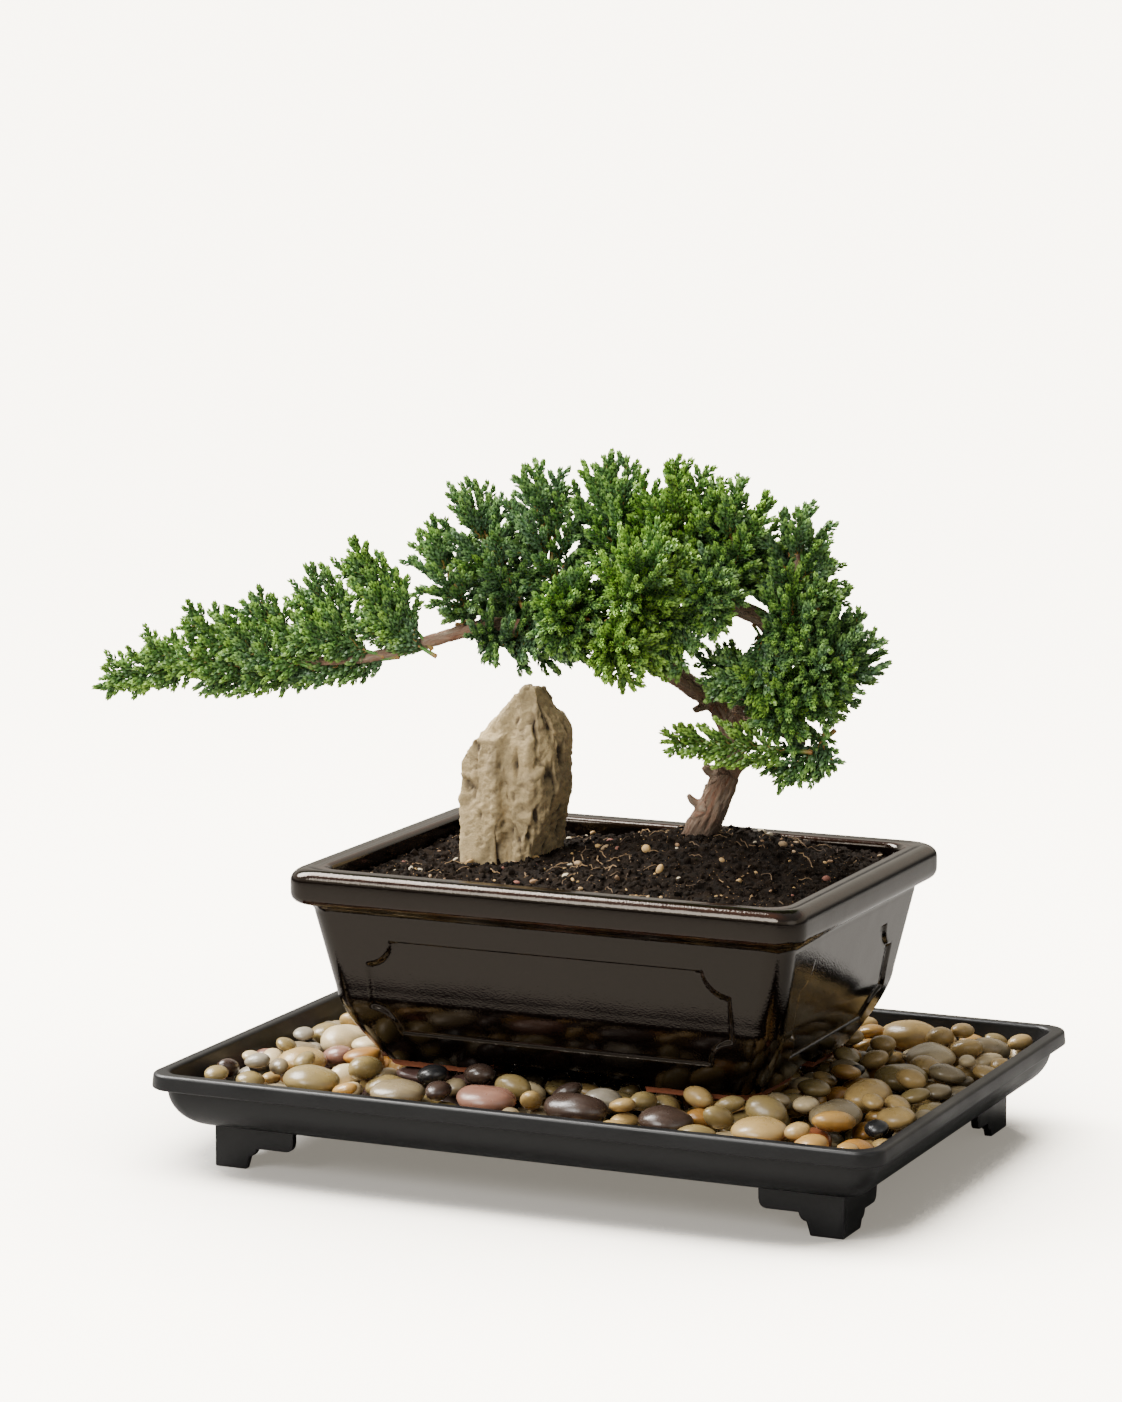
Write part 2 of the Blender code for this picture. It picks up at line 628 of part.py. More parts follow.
def wood_run(name, points, swell, collection, steps=2):
    """A tapering, bending round limb; swell is added to its radius and to both ends."""
    curve = bpy.data.curves.new(name, "CURVE")
    curve.dimensions = "3D"
    curve.resolution_u = steps
    curve.bevel_depth = 1.0
    curve.bevel_resolution = 2
    curve.use_fill_caps = True
    thicken = TRUNK_RADIUS / MM / TRUNK_AND_ARCH[1][3]
    places = [tree_point(x, y, z) for x, y, z, _ in points]
    places[0] += (places[0] - places[1]).normalized() * swell
    places[-1] += (places[-1] - places[-2]).normalized() * swell
    spline = curve.splines.new("BEZIER")
    spline.bezier_points.add(len(points) - 1)
    for bezier_point, place, (_, _, _, radius) in zip(spline.bezier_points, places, points):
        bezier_point.co = place
        bezier_point.radius = radius * MM * thicken + swell
        bezier_point.handle_left_type = "AUTO"
        bezier_point.handle_right_type = "AUTO"
    guide = bpy.data.objects.new(name, curve)
    cutters.objects.link(guide)
    bpy.context.view_layer.update()
    mesh = evaluated_mesh(guide)
    bpy.data.objects.remove(guide, do_unlink=True)
    shape = bmesh.new()
    shape.from_mesh(mesh)
    bmesh.ops.remove_doubles(shape, verts=shape.verts, dist=1e-6)
    return object_from_bmesh(name, shape, collection)


def make_wood(name, collection, swell=0.0):
    """Trunk, arch, long limb and branches, grown as one piece of wood."""
    wood = wood_run(name, TRUNK_AND_ARCH, swell, collection)
    runs = [wood_run("limb", LONG_LIMB, swell, cutters)]
    runs += [wood_run("branch", points, swell, cutters) for points in BRANCHES]
    return join(wood, runs)


def make_spray(name, base, tip, breadth, thickness, collection, leaf_green):
    """A plain lobed solid that holds one spray of scale leaves, from its base to its tip."""
    start = tree_point(*base)
    end = tree_point(*tip)
    axis = end - start
    large = breadth >= 30
    shape = bmesh.new()
    bmesh.ops.create_icosphere(shape, subdivisions=3 if large else 2, radius=1.0)
    seed = Vector((base[0] * 0.37, base[1] * 0.53, base[2] * 0.71))
    turn = axis.to_track_quat("Z", "Y").to_matrix().to_4x4()
    for vertex in shape.verts:
        direction = vertex.co.normalized()
        lobes = 1.0 + 0.12 * noise.noise(direction * 2.2 + seed)
        taper = 1.0 - 0.22 * direction.z
        vertex.co = (
            breadth / 2.0 * MM * direction.x * lobes * taper,
            thickness / 2.0 * MM * direction.y * lobes * taper,
            axis.length / 2.0 * direction.z,
        )
    bmesh.ops.transform(shape, matrix=Matrix.Translation((start + end) / 2.0) @ turn, verts=shape.verts)
    return object_from_bmesh(name, shape, collection, leaf_green)


def bounds(thing):
    corners = [thing.matrix_world @ vertex.co for vertex in thing.data.vertices]
    low = [min(corner[axis] for corner in corners) for axis in range(3)]
    high = [max(corner[axis] for corner in corners) for axis in range(3)]
    return low, high


def near(first, second, gap):
    """True where two solids' boxes come within a gap of each other."""
    first_low, first_high = bounds(first)
    second_low, second_high = bounds(second)
    return all(
        first_low[axis] - gap < second_high[axis] and second_low[axis] - gap < first_high[axis]
        for axis in range(3)
    )


def make_foliage(collection, wood_clearance):
    """Grow the sprays one after another, each trimmed clear of the wood and of the sprays before it."""
    leaf_green = make_material("juniper_leaf", (0.045, 0.150, 0.030), 0.6)
    grown = []
    for name, base, tip, breadth, thickness in SPRAYS:
        spray = make_spray(name, base, tip, breadth, thickness, collection, leaf_green)
        tools = [grown_copy(other, FIT_GAP) for other in grown if near(spray, other, FIT_GAP)]
        tools.append(duplicate(wood_clearance))
        cut(spray, tools)
        keep_main_body(spray)
        grown.append(spray)


# Pebbles ----------------------------------------------------------------------------------------------

def make_pebble(name, centre, size, turn, colour, collection):
    """One water-worn pebble: a flattened ball with its own slight unevenness."""
    shape = bmesh.new()
    bmesh.ops.create_icosphere(shape, subdivisions=2, radius=1.0)
    seed = Vector((centre[0] * 170.0, centre[1] * 170.0, 0.0))
    for vertex in shape.verts:
        direction = vertex.co.normalized()
        uneven = 1.0 - 0.08 * abs(noise.noise(direction * 1.3 + seed))
        vertex.co = [direction[axis] * size[axis] / 2.0 * uneven for axis in range(3)]
    bmesh.ops.transform(
        shape, matrix=Matrix.Translation(centre) @ Matrix.Rotation(turn, 4, "Z"), verts=shape.verts,
    )
    return object_from_bmesh(name, shape, collection, make_material(name + "_stone", colour, 0.35))


PEBBLE_COLOURS = [
    (0.42, 0.25, 0.10), (0.46, 0.38, 0.25), (0.16, 0.14, 0.12), (0.55, 0.47, 0.34), (0.27, 0.20, 0.12),
    (0.03, 0.03, 0.035), (0.50, 0.40, 0.22), (0.33, 0.29, 0.26), (0.38, 0.16, 0.07), (0.30, 0.26, 0.14),
]
PEBBLES_LONG_SIDE = 6
PEBBLES_SHORT_SIDE = 4


def ring_places():
    """Places for the large pebbles, in a row down the middle of the gap on each side of the pot."""
    row_x = POT_LENGTH / 2.0 + TRAY_MARGIN_X * PEBBLE_ROW_SHARE_X
    row_y = POT_WIDTH / 2.0 + TRAY_MARGIN_Y * PEBBLE_ROW_SHARE_Y
    places = []
    for index in range(PEBBLES_LONG_SIDE):
        x = row_x * (2.0 * (index + 0.5) / PEBBLES_LONG_SIDE - 1.0)
        places += [(x, -row_y, 0.0), (-x, row_y, 0.0)]
    for index in range(PEBBLES_SHORT_SIDE):
        y = row_y * PEBBLE_ROW_SPAN * (2.0 * (index + 0.5) / PEBBLES_SHORT_SIDE - 1.0)
        places += [(row_x, y, math.pi / 2.0), (-row_x, -y, math.pi / 2.0)]
    return places


def make_pebbles(collection):
    """Four flat pebbles carry the pot's feet; the rest lie on the bed round it."""
    foot_inset = LIP_OVERHANG + POT_WALL_DRAFT + BELLY_INSET
    foot_x = POT_LENGTH / 2.0 - foot_inset - POT_FOOT_LENGTH_X / 3.0
    foot_y = POT_WIDTH / 2.0 - foot_inset - POT_FOOT_THICKNESS / 2.0
    rest = PEBBLE_BED_TOP + FIT_GAP
    number = 0
    for side_x in (-1.0, 1.0):
        for side_y in (-1.0, 1.0):
            number += 1
            centre = (PLANTING_X + side_x * foot_x, side_y * foot_y, rest + SUPPORT_PEBBLE_THICKNESS / 2.0)
            size = (SUPPORT_PEBBLE_LENGTH, SUPPORT_PEBBLE_WIDTH, SUPPORT_PEBBLE_THICKNESS)
            colour = PEBBLE_COLOURS[(3 * number) % len(PEBBLE_COLOURS)]
            make_pebble(f"pebble_under_foot_{number}", centre, size, 0.0, colour, collection)
    for index, (x, y, turn) in enumerate(ring_places()):
        vary = 0.90 + 0.10 * math.sin(2.3 * index)
        size = (PEBBLE_LENGTH * vary, PEBBLE_WIDTH * (1.9 - vary), PEBBLE_THICKNESS * vary)
        centre = (PLANTING_X + x, y, rest + size[2] / 2.0)
        sway = 0.35 * math.sin(5.1 * index)
        colour = PEBBLE_COLOURS[index % len(PEBBLE_COLOURS)]
        make_pebble(f"pebble_{index + 1:02d}", centre, size, turn + sway, colour, collection)


def make_pebble_bed(collection):
    """The lower layers of small pebbles, as one closed filling of the tray."""
    mixed = make_material("pebble_bed_stone", (0.30, 0.25, 0.18), 0.5)
    bottom = TRAY_FLOOR_TOP + FIT_GAP
    levels = [bottom, bottom + 0.0025, bottom + 0.0055, PEBBLE_BED_TOP]
    rings = [tray_ring(tray_inner_inset(z) + 3.0 * FIT_GAP, z) for z in levels]
    return loft("pebble_bed", rings, collection, mixed)


def mesh_pockets():
    """Room under the soil for the drain meshes."""
    half = DRAIN_MESH_SIDE / 2.0 + FIT_GAP
    floor = POT_BASE + POT_FLOOR_TOP
    top = floor + DRAIN_MESH_THICKNESS + 2.0 * FIT_GAP
    pockets = []
    for side in (-1.0, 1.0):
        centre_x = PLANTING_X + side * DRAIN_HOLE_SPACING / 2.0
        pockets.append(box("mesh_pocket", (centre_x - half, -half, floor - DRAIN_MESH_THICKNESS),
                           (centre_x + half, half, top), cutters))
    return pockets


def build():
    make_tray(parts)
    make_pebble_bed(parts)
    make_pebbles(parts)
    make_pot(parts)
    make_drain_meshes(parts)
    soil = make_soil(parts)
    stone = make_stone(parts)
    wood = make_wood("trunk_and_limbs", parts)
    wood.data.materials.append(make_material("juniper_bark", (0.16, 0.10, 0.07), 0.9))
    wood_clearance = make_wood("wood_clearance", cutters, swell=FIT_GAP)
    cut(soil, [grown_copy(stone, FIT_GAP), duplicate(wood_clearance)] + mesh_pockets())
    make_foliage(parts, wood_clearance)
    bpy.data.objects.remove(wood_clearance, do_unlink=True)


clear_scene()
parts = make_collection("juniper_bonsai")
cutters = make_collection("cutters")
build()
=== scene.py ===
"""Looks for a trained dwarf juniper in a glazed pot, on river pebbles in a footed humidity tray.

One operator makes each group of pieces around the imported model.  Metres, +Z up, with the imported
model's own origin: on the surface that the tray stands on, in the middle of the object.
"""

import itertools
import math
import random

import bmesh
import bpy
import numpy as np
from bpy.props import FloatProperty, FloatVectorProperty, IntProperty, PointerProperty
from mathutils import Matrix, Vector, noise
from mathutils.kdtree import KDTree


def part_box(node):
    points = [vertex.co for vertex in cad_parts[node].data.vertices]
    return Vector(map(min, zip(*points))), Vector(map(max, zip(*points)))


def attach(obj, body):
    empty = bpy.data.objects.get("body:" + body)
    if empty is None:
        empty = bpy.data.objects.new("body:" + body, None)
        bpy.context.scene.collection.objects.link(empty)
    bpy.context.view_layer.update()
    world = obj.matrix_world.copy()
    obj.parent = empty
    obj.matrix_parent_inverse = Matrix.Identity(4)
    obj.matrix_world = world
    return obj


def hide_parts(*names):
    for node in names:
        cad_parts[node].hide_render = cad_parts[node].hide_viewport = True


bl_info = {
    "name": "Juniper Bonsai Maker",
    "version": (1, 0, 0),
    "blender": (4, 5, 0),
    "location": "3D View > Sidebar > Juniper Bonsai",
    "description": "Makes the tree, pot, stone, soil, pebbles and tray of a potted juniper",
    "category": "Object",
}

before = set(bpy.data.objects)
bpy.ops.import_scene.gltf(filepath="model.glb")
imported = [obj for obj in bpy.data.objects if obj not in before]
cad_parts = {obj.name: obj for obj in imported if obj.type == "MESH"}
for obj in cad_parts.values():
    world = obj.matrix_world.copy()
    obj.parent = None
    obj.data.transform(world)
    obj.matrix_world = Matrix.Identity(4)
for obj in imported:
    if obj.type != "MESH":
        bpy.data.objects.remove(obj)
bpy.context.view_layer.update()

MM = 0.001
UP = Vector((0.0, 0.0, 1.0))
POT_LOW, POT_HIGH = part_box("pot")
TRAY_LOW, TRAY_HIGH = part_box("humidity_tray")
STONE_LOW, STONE_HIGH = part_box("stone")
PLANTING_X = (POT_LOW.x + POT_HIGH.x) / 2.0
POT_BASE = POT_LOW.z
POT_HEIGHT = POT_HIGH.z - POT_LOW.z
POT_HALF_X = (POT_HIGH.x - POT_LOW.x) / 2.0
POT_HALF_Y = (POT_HIGH.y - POT_LOW.y) / 2.0
TRAY_HALF_X = (TRAY_HIGH.x - TRAY_LOW.x) / 2.0
TRAY_HALF_Y = (TRAY_HIGH.y - TRAY_LOW.y) / 2.0
TRAY_HEIGHT = TRAY_HIGH.z

# Sizes that the solids share with their makers.
POT_CORNER_RADIUS = 0.009
POT_WALL = 0.0055
POT_FLOOR_TOP = 0.012
POT_FOOT_HEIGHT = 0.006
POT_FOOT_LENGTH_X = 0.042
POT_FOOT_LENGTH_Y = 0.038
POT_FOOT_THICKNESS = 0.009
DRAIN_HOLE_RADIUS = 0.007
DRAIN_HOLE_SPACING = 0.090
LIP_HEIGHT = 0.013
LIP_WIDTH = 0.011
LIP_OVERHANG = 0.0066
WALL_DRAFT = 0.0058
BELLY_HEIGHT = 0.0296
BELLY_INSET = 0.0155
PANEL_MARGIN = 0.0224
PANEL_NOTCH = 0.010
PANEL_STEP = 0.0015
PANEL_DEPTH = 0.0011
PANEL_TOP = 0.052
PANEL_BOTTOM = 0.014
LIP_UNDERSIDE = POT_HEIGHT - LIP_HEIGHT
WALL_TOP = LIP_UNDERSIDE - 0.004
PANEL_HALF_X = POT_HALF_X - LIP_OVERHANG - PANEL_MARGIN
PANEL_HALF_Y = POT_HALF_Y - LIP_OVERHANG - PANEL_MARGIN

TRAY_CORNER_RADIUS = 0.0095
TRAY_WALL = 0.002
TRAY_RIM_WIDTH = 0.0055
TRAY_RIM_HEIGHT = 0.006
TRAY_RIM_OVERHANG = 0.0045
TRAY_FOOT_HEIGHT = 0.016
TRAY_BODY_INSET = 0.0185
TRAY_FOOT_THICKNESS = 0.003
TRAY_FLOOR_TOP = TRAY_FOOT_HEIGHT + TRAY_WALL

SOIL_LEVEL = 0.0685
SOIL_MOUND_HEIGHT = 0.0145
SOIL_MOUND_SPREAD = 0.048
TRUNK_X = 0.028
TRUNK_Y = 0.018
SOIL_TOP = POT_BASE + SOIL_LEVEL + SOIL_MOUND_HEIGHT

# Points of the wood and foliage are in millimetres from where the trunk leaves the soil; the last
# value of a wood point is the wood's radius there.
TRUNK_AND_ARCH = [
    (-6, 0, -13, 7.2), (-2.5, 0, 0, 6.3), (3.5, 0, 13, 5.4), (9, 0, 28, 4.9), (10, -1, 40, 4.5),
    (17, -2, 51, 4.1), (27, -6, 62, 3.7), (32, -10, 74, 3.4), (28, -13, 83, 3.2), (18, -15, 88, 3.0),
    (7, -16, 92, 2.6), (-8, -18, 96, 2.0), (-23, -18, 99, 1.5),
]
LONG_LIMB = [
    (11, 0, 34, 3.6), (5, -2, 49, 3.8), (-6, -5, 57, 3.7), (-20, -10, 66, 3.4), (-38, -14, 72, 3.1),
    (-59, -18, 75, 2.8), (-77, -22, 77, 2.6), (-95, -25, 72, 2.4), (-116, -27, 65, 2.1),
    (-136, -29, 61, 1.8), (-161, -30, 59, 1.5), (-186, -30, 56, 1.2), (-212, -30, 52, 0.9),
]
BRANCHES = [
    [(31, -9, 71, 2.0), (37, -12, 92, 1.5), (42, -14, 112, 1.1)],
    [(24, -5, 58, 2.4), (42, -11, 64, 1.8), (60, -16, 72, 1.2)],
    [(15, -2, 46, 2.2), (32, -14, 44, 1.7), (46, -20, 40, 1.2)],
    [(-18, -9, 65, 2.2), (-17, -28, 76, 1.7), (-15, -42, 86, 1.2)],
    [(12, -15, 90, 2.1), (6, 6, 98, 1.6), (2, 22, 106, 1.1)],
    [(0, -17, 94, 1.9), (-8, -16, 112, 1.4), (-12, -17, 126, 1.0)],
]
STUBS = [
    [(1, 0, 10, 2.2), (-4, -2, 12, 1.5), (-6.5, -3, 15, 0.7)],
    [(8, 0, 25, 3.0), (13, 2, 27, 2.2), (15.5, 3, 29.5, 1.3)],
    [(6, 0, 23, 2.6), (1.5, -2, 24.5, 2.0), (0, -3, 26, 1.3)],
    [(3, -3, 50, 1.9), (-1, -5, 48, 1.4), (-3, -6, 47, 1.1)],
    [(27, -7, 62, 2.2), (23, -9, 61, 1.5), (21, -10, 62, 0.9)],
]

# Each spray: its solid's name, where it grows from, where its tip is, its breadth and thickness, the
# number of feathers in it, and how yellow its green is, from blue-grey at 0 to bright at 1.  A narrow
# spray follows one leading shoot.  Sprays with the same name become one piece.
SPRAYS = [
    ("foliage_limb_tip", (-196, -30, 56), (-243, -30, 47), 14, 12, 7, 0.62),
    ("foliage_limb_tip", (-194, -31, 56), (-222, -33, 61), 13, 12, 4, 0.66),
    ("foliage_limb_side_1", (-166, -28, 60), (-205, -32, 74), 17, 14, 6, 0.58),
    ("foliage_limb_side_1", (-176, -31, 56), (-206, -33, 60), 15, 12, 5, 0.60),
    ("foliage_limb_side_2", (-144, -27, 62), (-181, -29, 82), 18, 16, 7, 0.55),
    ("foliage_limb_side_2", (-150, -31, 58), (-183, -34, 66), 16, 14, 6, 0.52),
    ("foliage_limb_side_3", (-128, -27, 64), (-155, -27, 92), 19, 18, 8, 0.45),
    ("foliage_limb_side_3", (-122, -29, 64), (-158, -33, 74), 18, 15, 7, 0.50),
    ("foliage_limb_under", (-150, -29, 58), (-204, -27, 50), 13, 11, 8, 0.50),
    ("foliage_limb_under", (-116, -28, 63), (-166, -28, 53), 13, 12, 8, 0.42),
    ("foliage_limb_rise_1", (-102, -27, 69), (-136, -28, 104), 21, 22, 10, 0.55),
    ("foliage_limb_rise_1", (-100, -29, 66), (-128, -31, 80), 20, 18, 7, 0.40),
    ("foliage_limb_rise_2", (-84, -23, 76), (-104, -26, 116), 25, 24, 17, 0.35),
    ("foliage_limb_rise_3", (-66, -20, 84), (-91, -24, 131), 30, 28, 24, 0.30),
    ("foliage_limb_rise_4", (-50, -20, 86), (-60, -22, 140), 28, 30, 25, 0.32),
    ("foliage_limb_fill", (-88, -23, 76), (-36, -16, 72), 30, 26, 23, 0.30),
    ("foliage_limb_back", (-70, -14, 76), (-92, 2, 96), 26, 22, 13, 0.35),
    ("foliage_crown_1", (-22, -18, 98), (-35, -18, 143), 34, 34, 28, 0.42),
    ("foliage_crown_2", (-4, -18, 100), (-2, -18, 143), 34, 36, 23, 0.66),
    ("foliage_crown_3", (14, -18, 98), (20, -18, 137), 30, 34, 24, 0.50),
    ("foliage_crown_4", (36, -13, 92), (46, -15, 128), 24, 26, 15, 0.38),
    ("foliage_front_1", (-18, -36, 92), (8, -46, 116), 38, 32, 24, 0.72),
    ("foliage_front_1", (12, -30, 96), (24, -34, 104), 26, 24, 11, 0.42),
    ("foliage_front_2", (-44, -32, 88), (-22, -44, 82), 38, 34, 26, 0.52),
    ("foliage_front_3", (-26, -38, 80), (2, -40, 68), 34, 28, 20, 0.95),
    ("foliage_front_3", (-20, -30, 90), (6, -34, 84), 26, 22, 12, 0.60),
    ("foliage_right_1", (34, -16, 80), (61, -20, 97), 30, 32, 20, 0.42),
    ("foliage_right_2", (42, -16, 66), (76, -20, 80), 34, 34, 22, 0.38),
    ("foliage_right_3", (34, -18, 60), (60, -24, 45), 34, 32, 21, 0.45),
    ("foliage_right_4", (28, -20, 72), (34, -26, 46), 24, 24, 15, 0.72),
    ("foliage_right_4", (26, -16, 80), (40, -24, 66), 22, 20, 10, 0.40),
    ("foliage_right_4", (28, -14, 52), (10, -18, 72), 18, 16, 7, 0.34),
    ("foliage_right_4", (30, -24, 62), (14, -26, 64), 16, 14, 5, 0.42),
    ("foliage_front_1", (-2, -28, 96), (22, -30, 88), 20, 18, 8, 0.42),
    ("foliage_front_1", (-6, -30, 88), (6, -30, 72), 20, 18, 7, 0.48),
    ("foliage_low_sprig", (48, -24, 38), (-10, -24, 38), 11, 9, 4, 0.90),
    ("foliage_low_tuft", (56, -20, 44), (34, -22, 24), 11, 10, 4, 0.40),
    ("foliage_low_tuft", (54, -20, 42), (54, -22, 27), 9, 8, 2, 0.36),
    ("foliage_back_1", (-26, 4, 94), (-38, 26, 112), 34, 32, 20, 0.42),
    ("foliage_back_2", (2, 8, 92), (2, 32, 116), 34, 34, 21, 0.48),
    ("foliage_back_3", (28, 4, 84), (38, 26, 102), 32, 32, 20, 0.42),
    ("foliage_back_4", (36, -2, 60), (58, 16, 68), 32, 32, 20, 0.38),
]

# Stone colours of the pebbles, each with the share of pebbles that have it.
PEBBLE_TONES = [
    ((0.430, 0.290, 0.105), 0.20),
    ((0.420, 0.240, 0.060), 0.13),
    ((0.350, 0.165, 0.030), 0.07),
    ((0.640, 0.510, 0.290), 0.09),
    ((0.230, 0.180, 0.100), 0.10),
    ((0.250, 0.185, 0.070), 0.12),
    ((0.258, 0.129, 0.090), 0.05),
    ((0.292, 0.258, 0.194), 0.06),
    ((0.043, 0.026, 0.019), 0.08),
    ((0.086, 0.047, 0.041), 0.03),
    ((0.010, 0.011, 0.013), 0.05),
    ((0.241, 0.073, 0.026), 0.02),
]


# Sizes and colours that a user would change ----------------------------------------------------------

def length_choice(name, description, default):
    return FloatProperty(name=name, description=description, default=default, unit="LENGTH")


def angle_choice(name, description, degrees):
    return FloatProperty(name=name, description=description, default=math.radians(degrees), subtype="ANGLE")


def colour_choice(name, description, default):
    return FloatVectorProperty(name=name, description=description, default=default, subtype="COLOR",
                               min=0.0, max=1.0)


class JuniperSizes(bpy.types.PropertyGroup):
    leaf_length: length_choice("Leaf length", "Length of one scale leaf", 0.0032)
    leaf_width: length_choice("Leaf width", "Width of one scale leaf", 0.00152)
    whorl_spacing: length_choice("Whorl spacing", "Distance along a shoot between rings of leaves", 0.00125)
    tip_lean: angle_choice("Leaf lean at the tip", "Angle between a shoot and its youngest leaves", 24.0)
    base_lean: angle_choice("Leaf lean at the base", "Angle between a shoot and its oldest leaves", 38.0)
    pebble_length: length_choice("Small pebble length", "Mean length of the loose small pebbles", 0.0132)
    pebble_count: IntProperty(
        name="Small pebbles", description="Most loose pebbles that are tried in the tray", default=760,
    )
    crumb_density: FloatProperty(
        name="Soil crumbs", description="Loose crumbs on each square metre of soil", default=230000.0,
    )
    grit_count: IntProperty(name="Grit", description="Pale grit and bark chips on the soil", default=150)


class JuniperColours(bpy.types.PropertyGroup):
    leaf_bright: colour_choice("Young leaf", "The youngest leaves", (0.275, 0.495, 0.068))
    leaf_green: colour_choice("Leaf", "The grown leaves", (0.088, 0.230, 0.038))
    leaf_blue: colour_choice("Waxy leaf", "The old leaves with their pale wax", (0.118, 0.238, 0.120))
    bark: colour_choice("Bark", "The bark's flakes", (0.300, 0.220, 0.150))
    glaze: colour_choice("Glaze", "The pot's glaze where it lies thick", (0.0030, 0.0018, 0.0014))
    glaze_break: colour_choice("Glaze break", "The glaze where it thins over an edge", (0.030, 0.010, 0.005))
    clay: colour_choice("Clay", "The bare fired clay", (0.330, 0.105, 0.050))
    tray: colour_choice("Tray", "The moulded tray", (0.0034, 0.0034, 0.0037))
    soil: colour_choice("Soil", "The dark earth", (0.0066, 0.0046, 0.0031))
    stone: colour_choice("Stone", "The standing stone's faces", (0.465, 0.345, 0.172))
    floor: colour_choice("Floor", "The studio floor", (0.33, 0.32, 0.305))


# Mesh helpers ----------------------------------------------------------------------------------------

def new_object(name, data, material=None):
    thing = bpy.data.objects.new(name, data)
    bpy.context.scene.collection.objects.link(thing)
    if material is not None:
        data.materials.append(material)
    return thing


def mesh_from(name, vertices, faces=(), edges=()):
    mesh = bpy.data.meshes.new(name)
    mesh.from_pydata(vertices, edges, faces)
    mesh.update()
    return mesh


def keep_shape(shape, name):
    """Keep a bmesh as a mesh of this name and free it."""
    mesh = bpy.data.meshes.new(name)
    shape.to_mesh(mesh)
    shape.free()
    return mesh


def skin_rings(name, rings):
    """A closed skin over a stack of rings, anticlockwise from below, with flat caps at both ends."""
    levels, count, _ = rings.shape
    index = np.arange(levels * count).reshape(levels, count)
    following = np.roll(index, -1, axis=1)
    sides = np.stack([index[:-1], following[:-1], following[1:], index[1:]], axis=-1)
    faces = sides.reshape(-1, 4).tolist()
    faces.append(index[0][::-1].tolist())
    faces.append(index[-1].tolist())
    return mesh_from(name, rings.reshape(-1, 3).tolist(), faces)


def quarter(count, first=0):
    """Sines and cosines of equal steps over a quarter turn."""
    turns = [math.radians(90.0 * step / count) for step in range(first, count + 1)]
    return [(math.sin(turn), math.cos(turn)) for turn in turns]


def smooth(mesh, angle=40.0):
    mesh.shade_smooth()
    mesh.set_sharp_from_angle(angle=math.radians(angle))


def evaluated_copy(thing):
    bpy.context.view_layer.update()
    depsgraph = bpy.context.evaluated_depsgraph_get()
    return bpy.data.meshes.new_from_object(
        thing.evaluated_get(depsgraph), preserve_all_data_layers=True, depsgraph=depsgraph,
    )


def settle(thing):
    """Turn the object's modifiers into plain mesh and take them off."""
    mesh = evaluated_copy(thing)
    thing.modifiers.clear()
    old_mesh_and_rim_highlight = thing.data
    thing.data = mesh
    mesh.name = thing.name
    bpy.data.meshes.remove(old_mesh_and_rim_highlight)
    return thing


def combine(target, tools, operation):
    for tool in tools:
        modifier = target.modifiers.new(operation, "BOOLEAN")
        modifier.operation = operation
        modifier.solver = "EXACT"
        modifier.object = tool
        settle(target)
        bpy.data.objects.remove(tool, do_unlink=True)


def grow_together(thing, voxel, passes):
    """One closed surface round everything in the mesh, with its steps blurred away."""
    remesh = thing.modifiers.new("remesh", "REMESH")
    remesh.mode = "VOXEL"
    remesh.voxel_size = voxel
    thing.modifiers.new("blur", "SMOOTH").iterations = passes
    return settle(thing)


def repaint(thing, material):
    thing.data.materials.clear()
    thing.data.materials.append(material)


def box_mesh(name, low, high):
    shape = bmesh.new()
    size = Vector(high) - Vector(low)
    centre = (Vector(high) + Vector(low)) / 2.0
    bmesh.ops.create_cube(shape, size=1.0, matrix=Matrix.Translation(centre) @ Matrix.Diagonal((*size, 1.0)))
    return keep_shape(shape, name)


def store_values(mesh, name, values, kind="FLOAT"):
    """Keep one value, or one vector, for each vertex under a name that the materials read."""
    layer = mesh.attributes.new(name, kind, "POINT")
    field = "value" if kind == "FLOAT" else "vector"
    layer.data.foreach_set(field, np.asarray(values, dtype=np.float32).ravel())


def vector_table(source, field):
    """A row of three numbers for each vertex: its place or its normal."""
    table = np.zeros(len(source) * 3, dtype=np.float32)
    source.foreach_get(field, table)
    return table.reshape(-1, 3).astype(float)


def set_places(mesh, places):
    mesh.vertices.foreach_set("co", np.asarray(places, dtype=np.float32).ravel())
    mesh.update()


def finish_piece(thing, slot, *nodes):
    """The piece moves with the one body and stands for these solids, which it hides; the slot is not used."""
    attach(thing, "root")
    if nodes:
        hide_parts(*nodes)


# Node helpers ----------------------------------------------------------------------------------------

def rgba(colour, strength=1.0):
    """A colour with its alpha; a socket stays as it is."""
    if isinstance(colour, bpy.types.NodeSocket):
        return colour
    return (*(strength * part for part in tuple(colour)[:3]), 1.0)


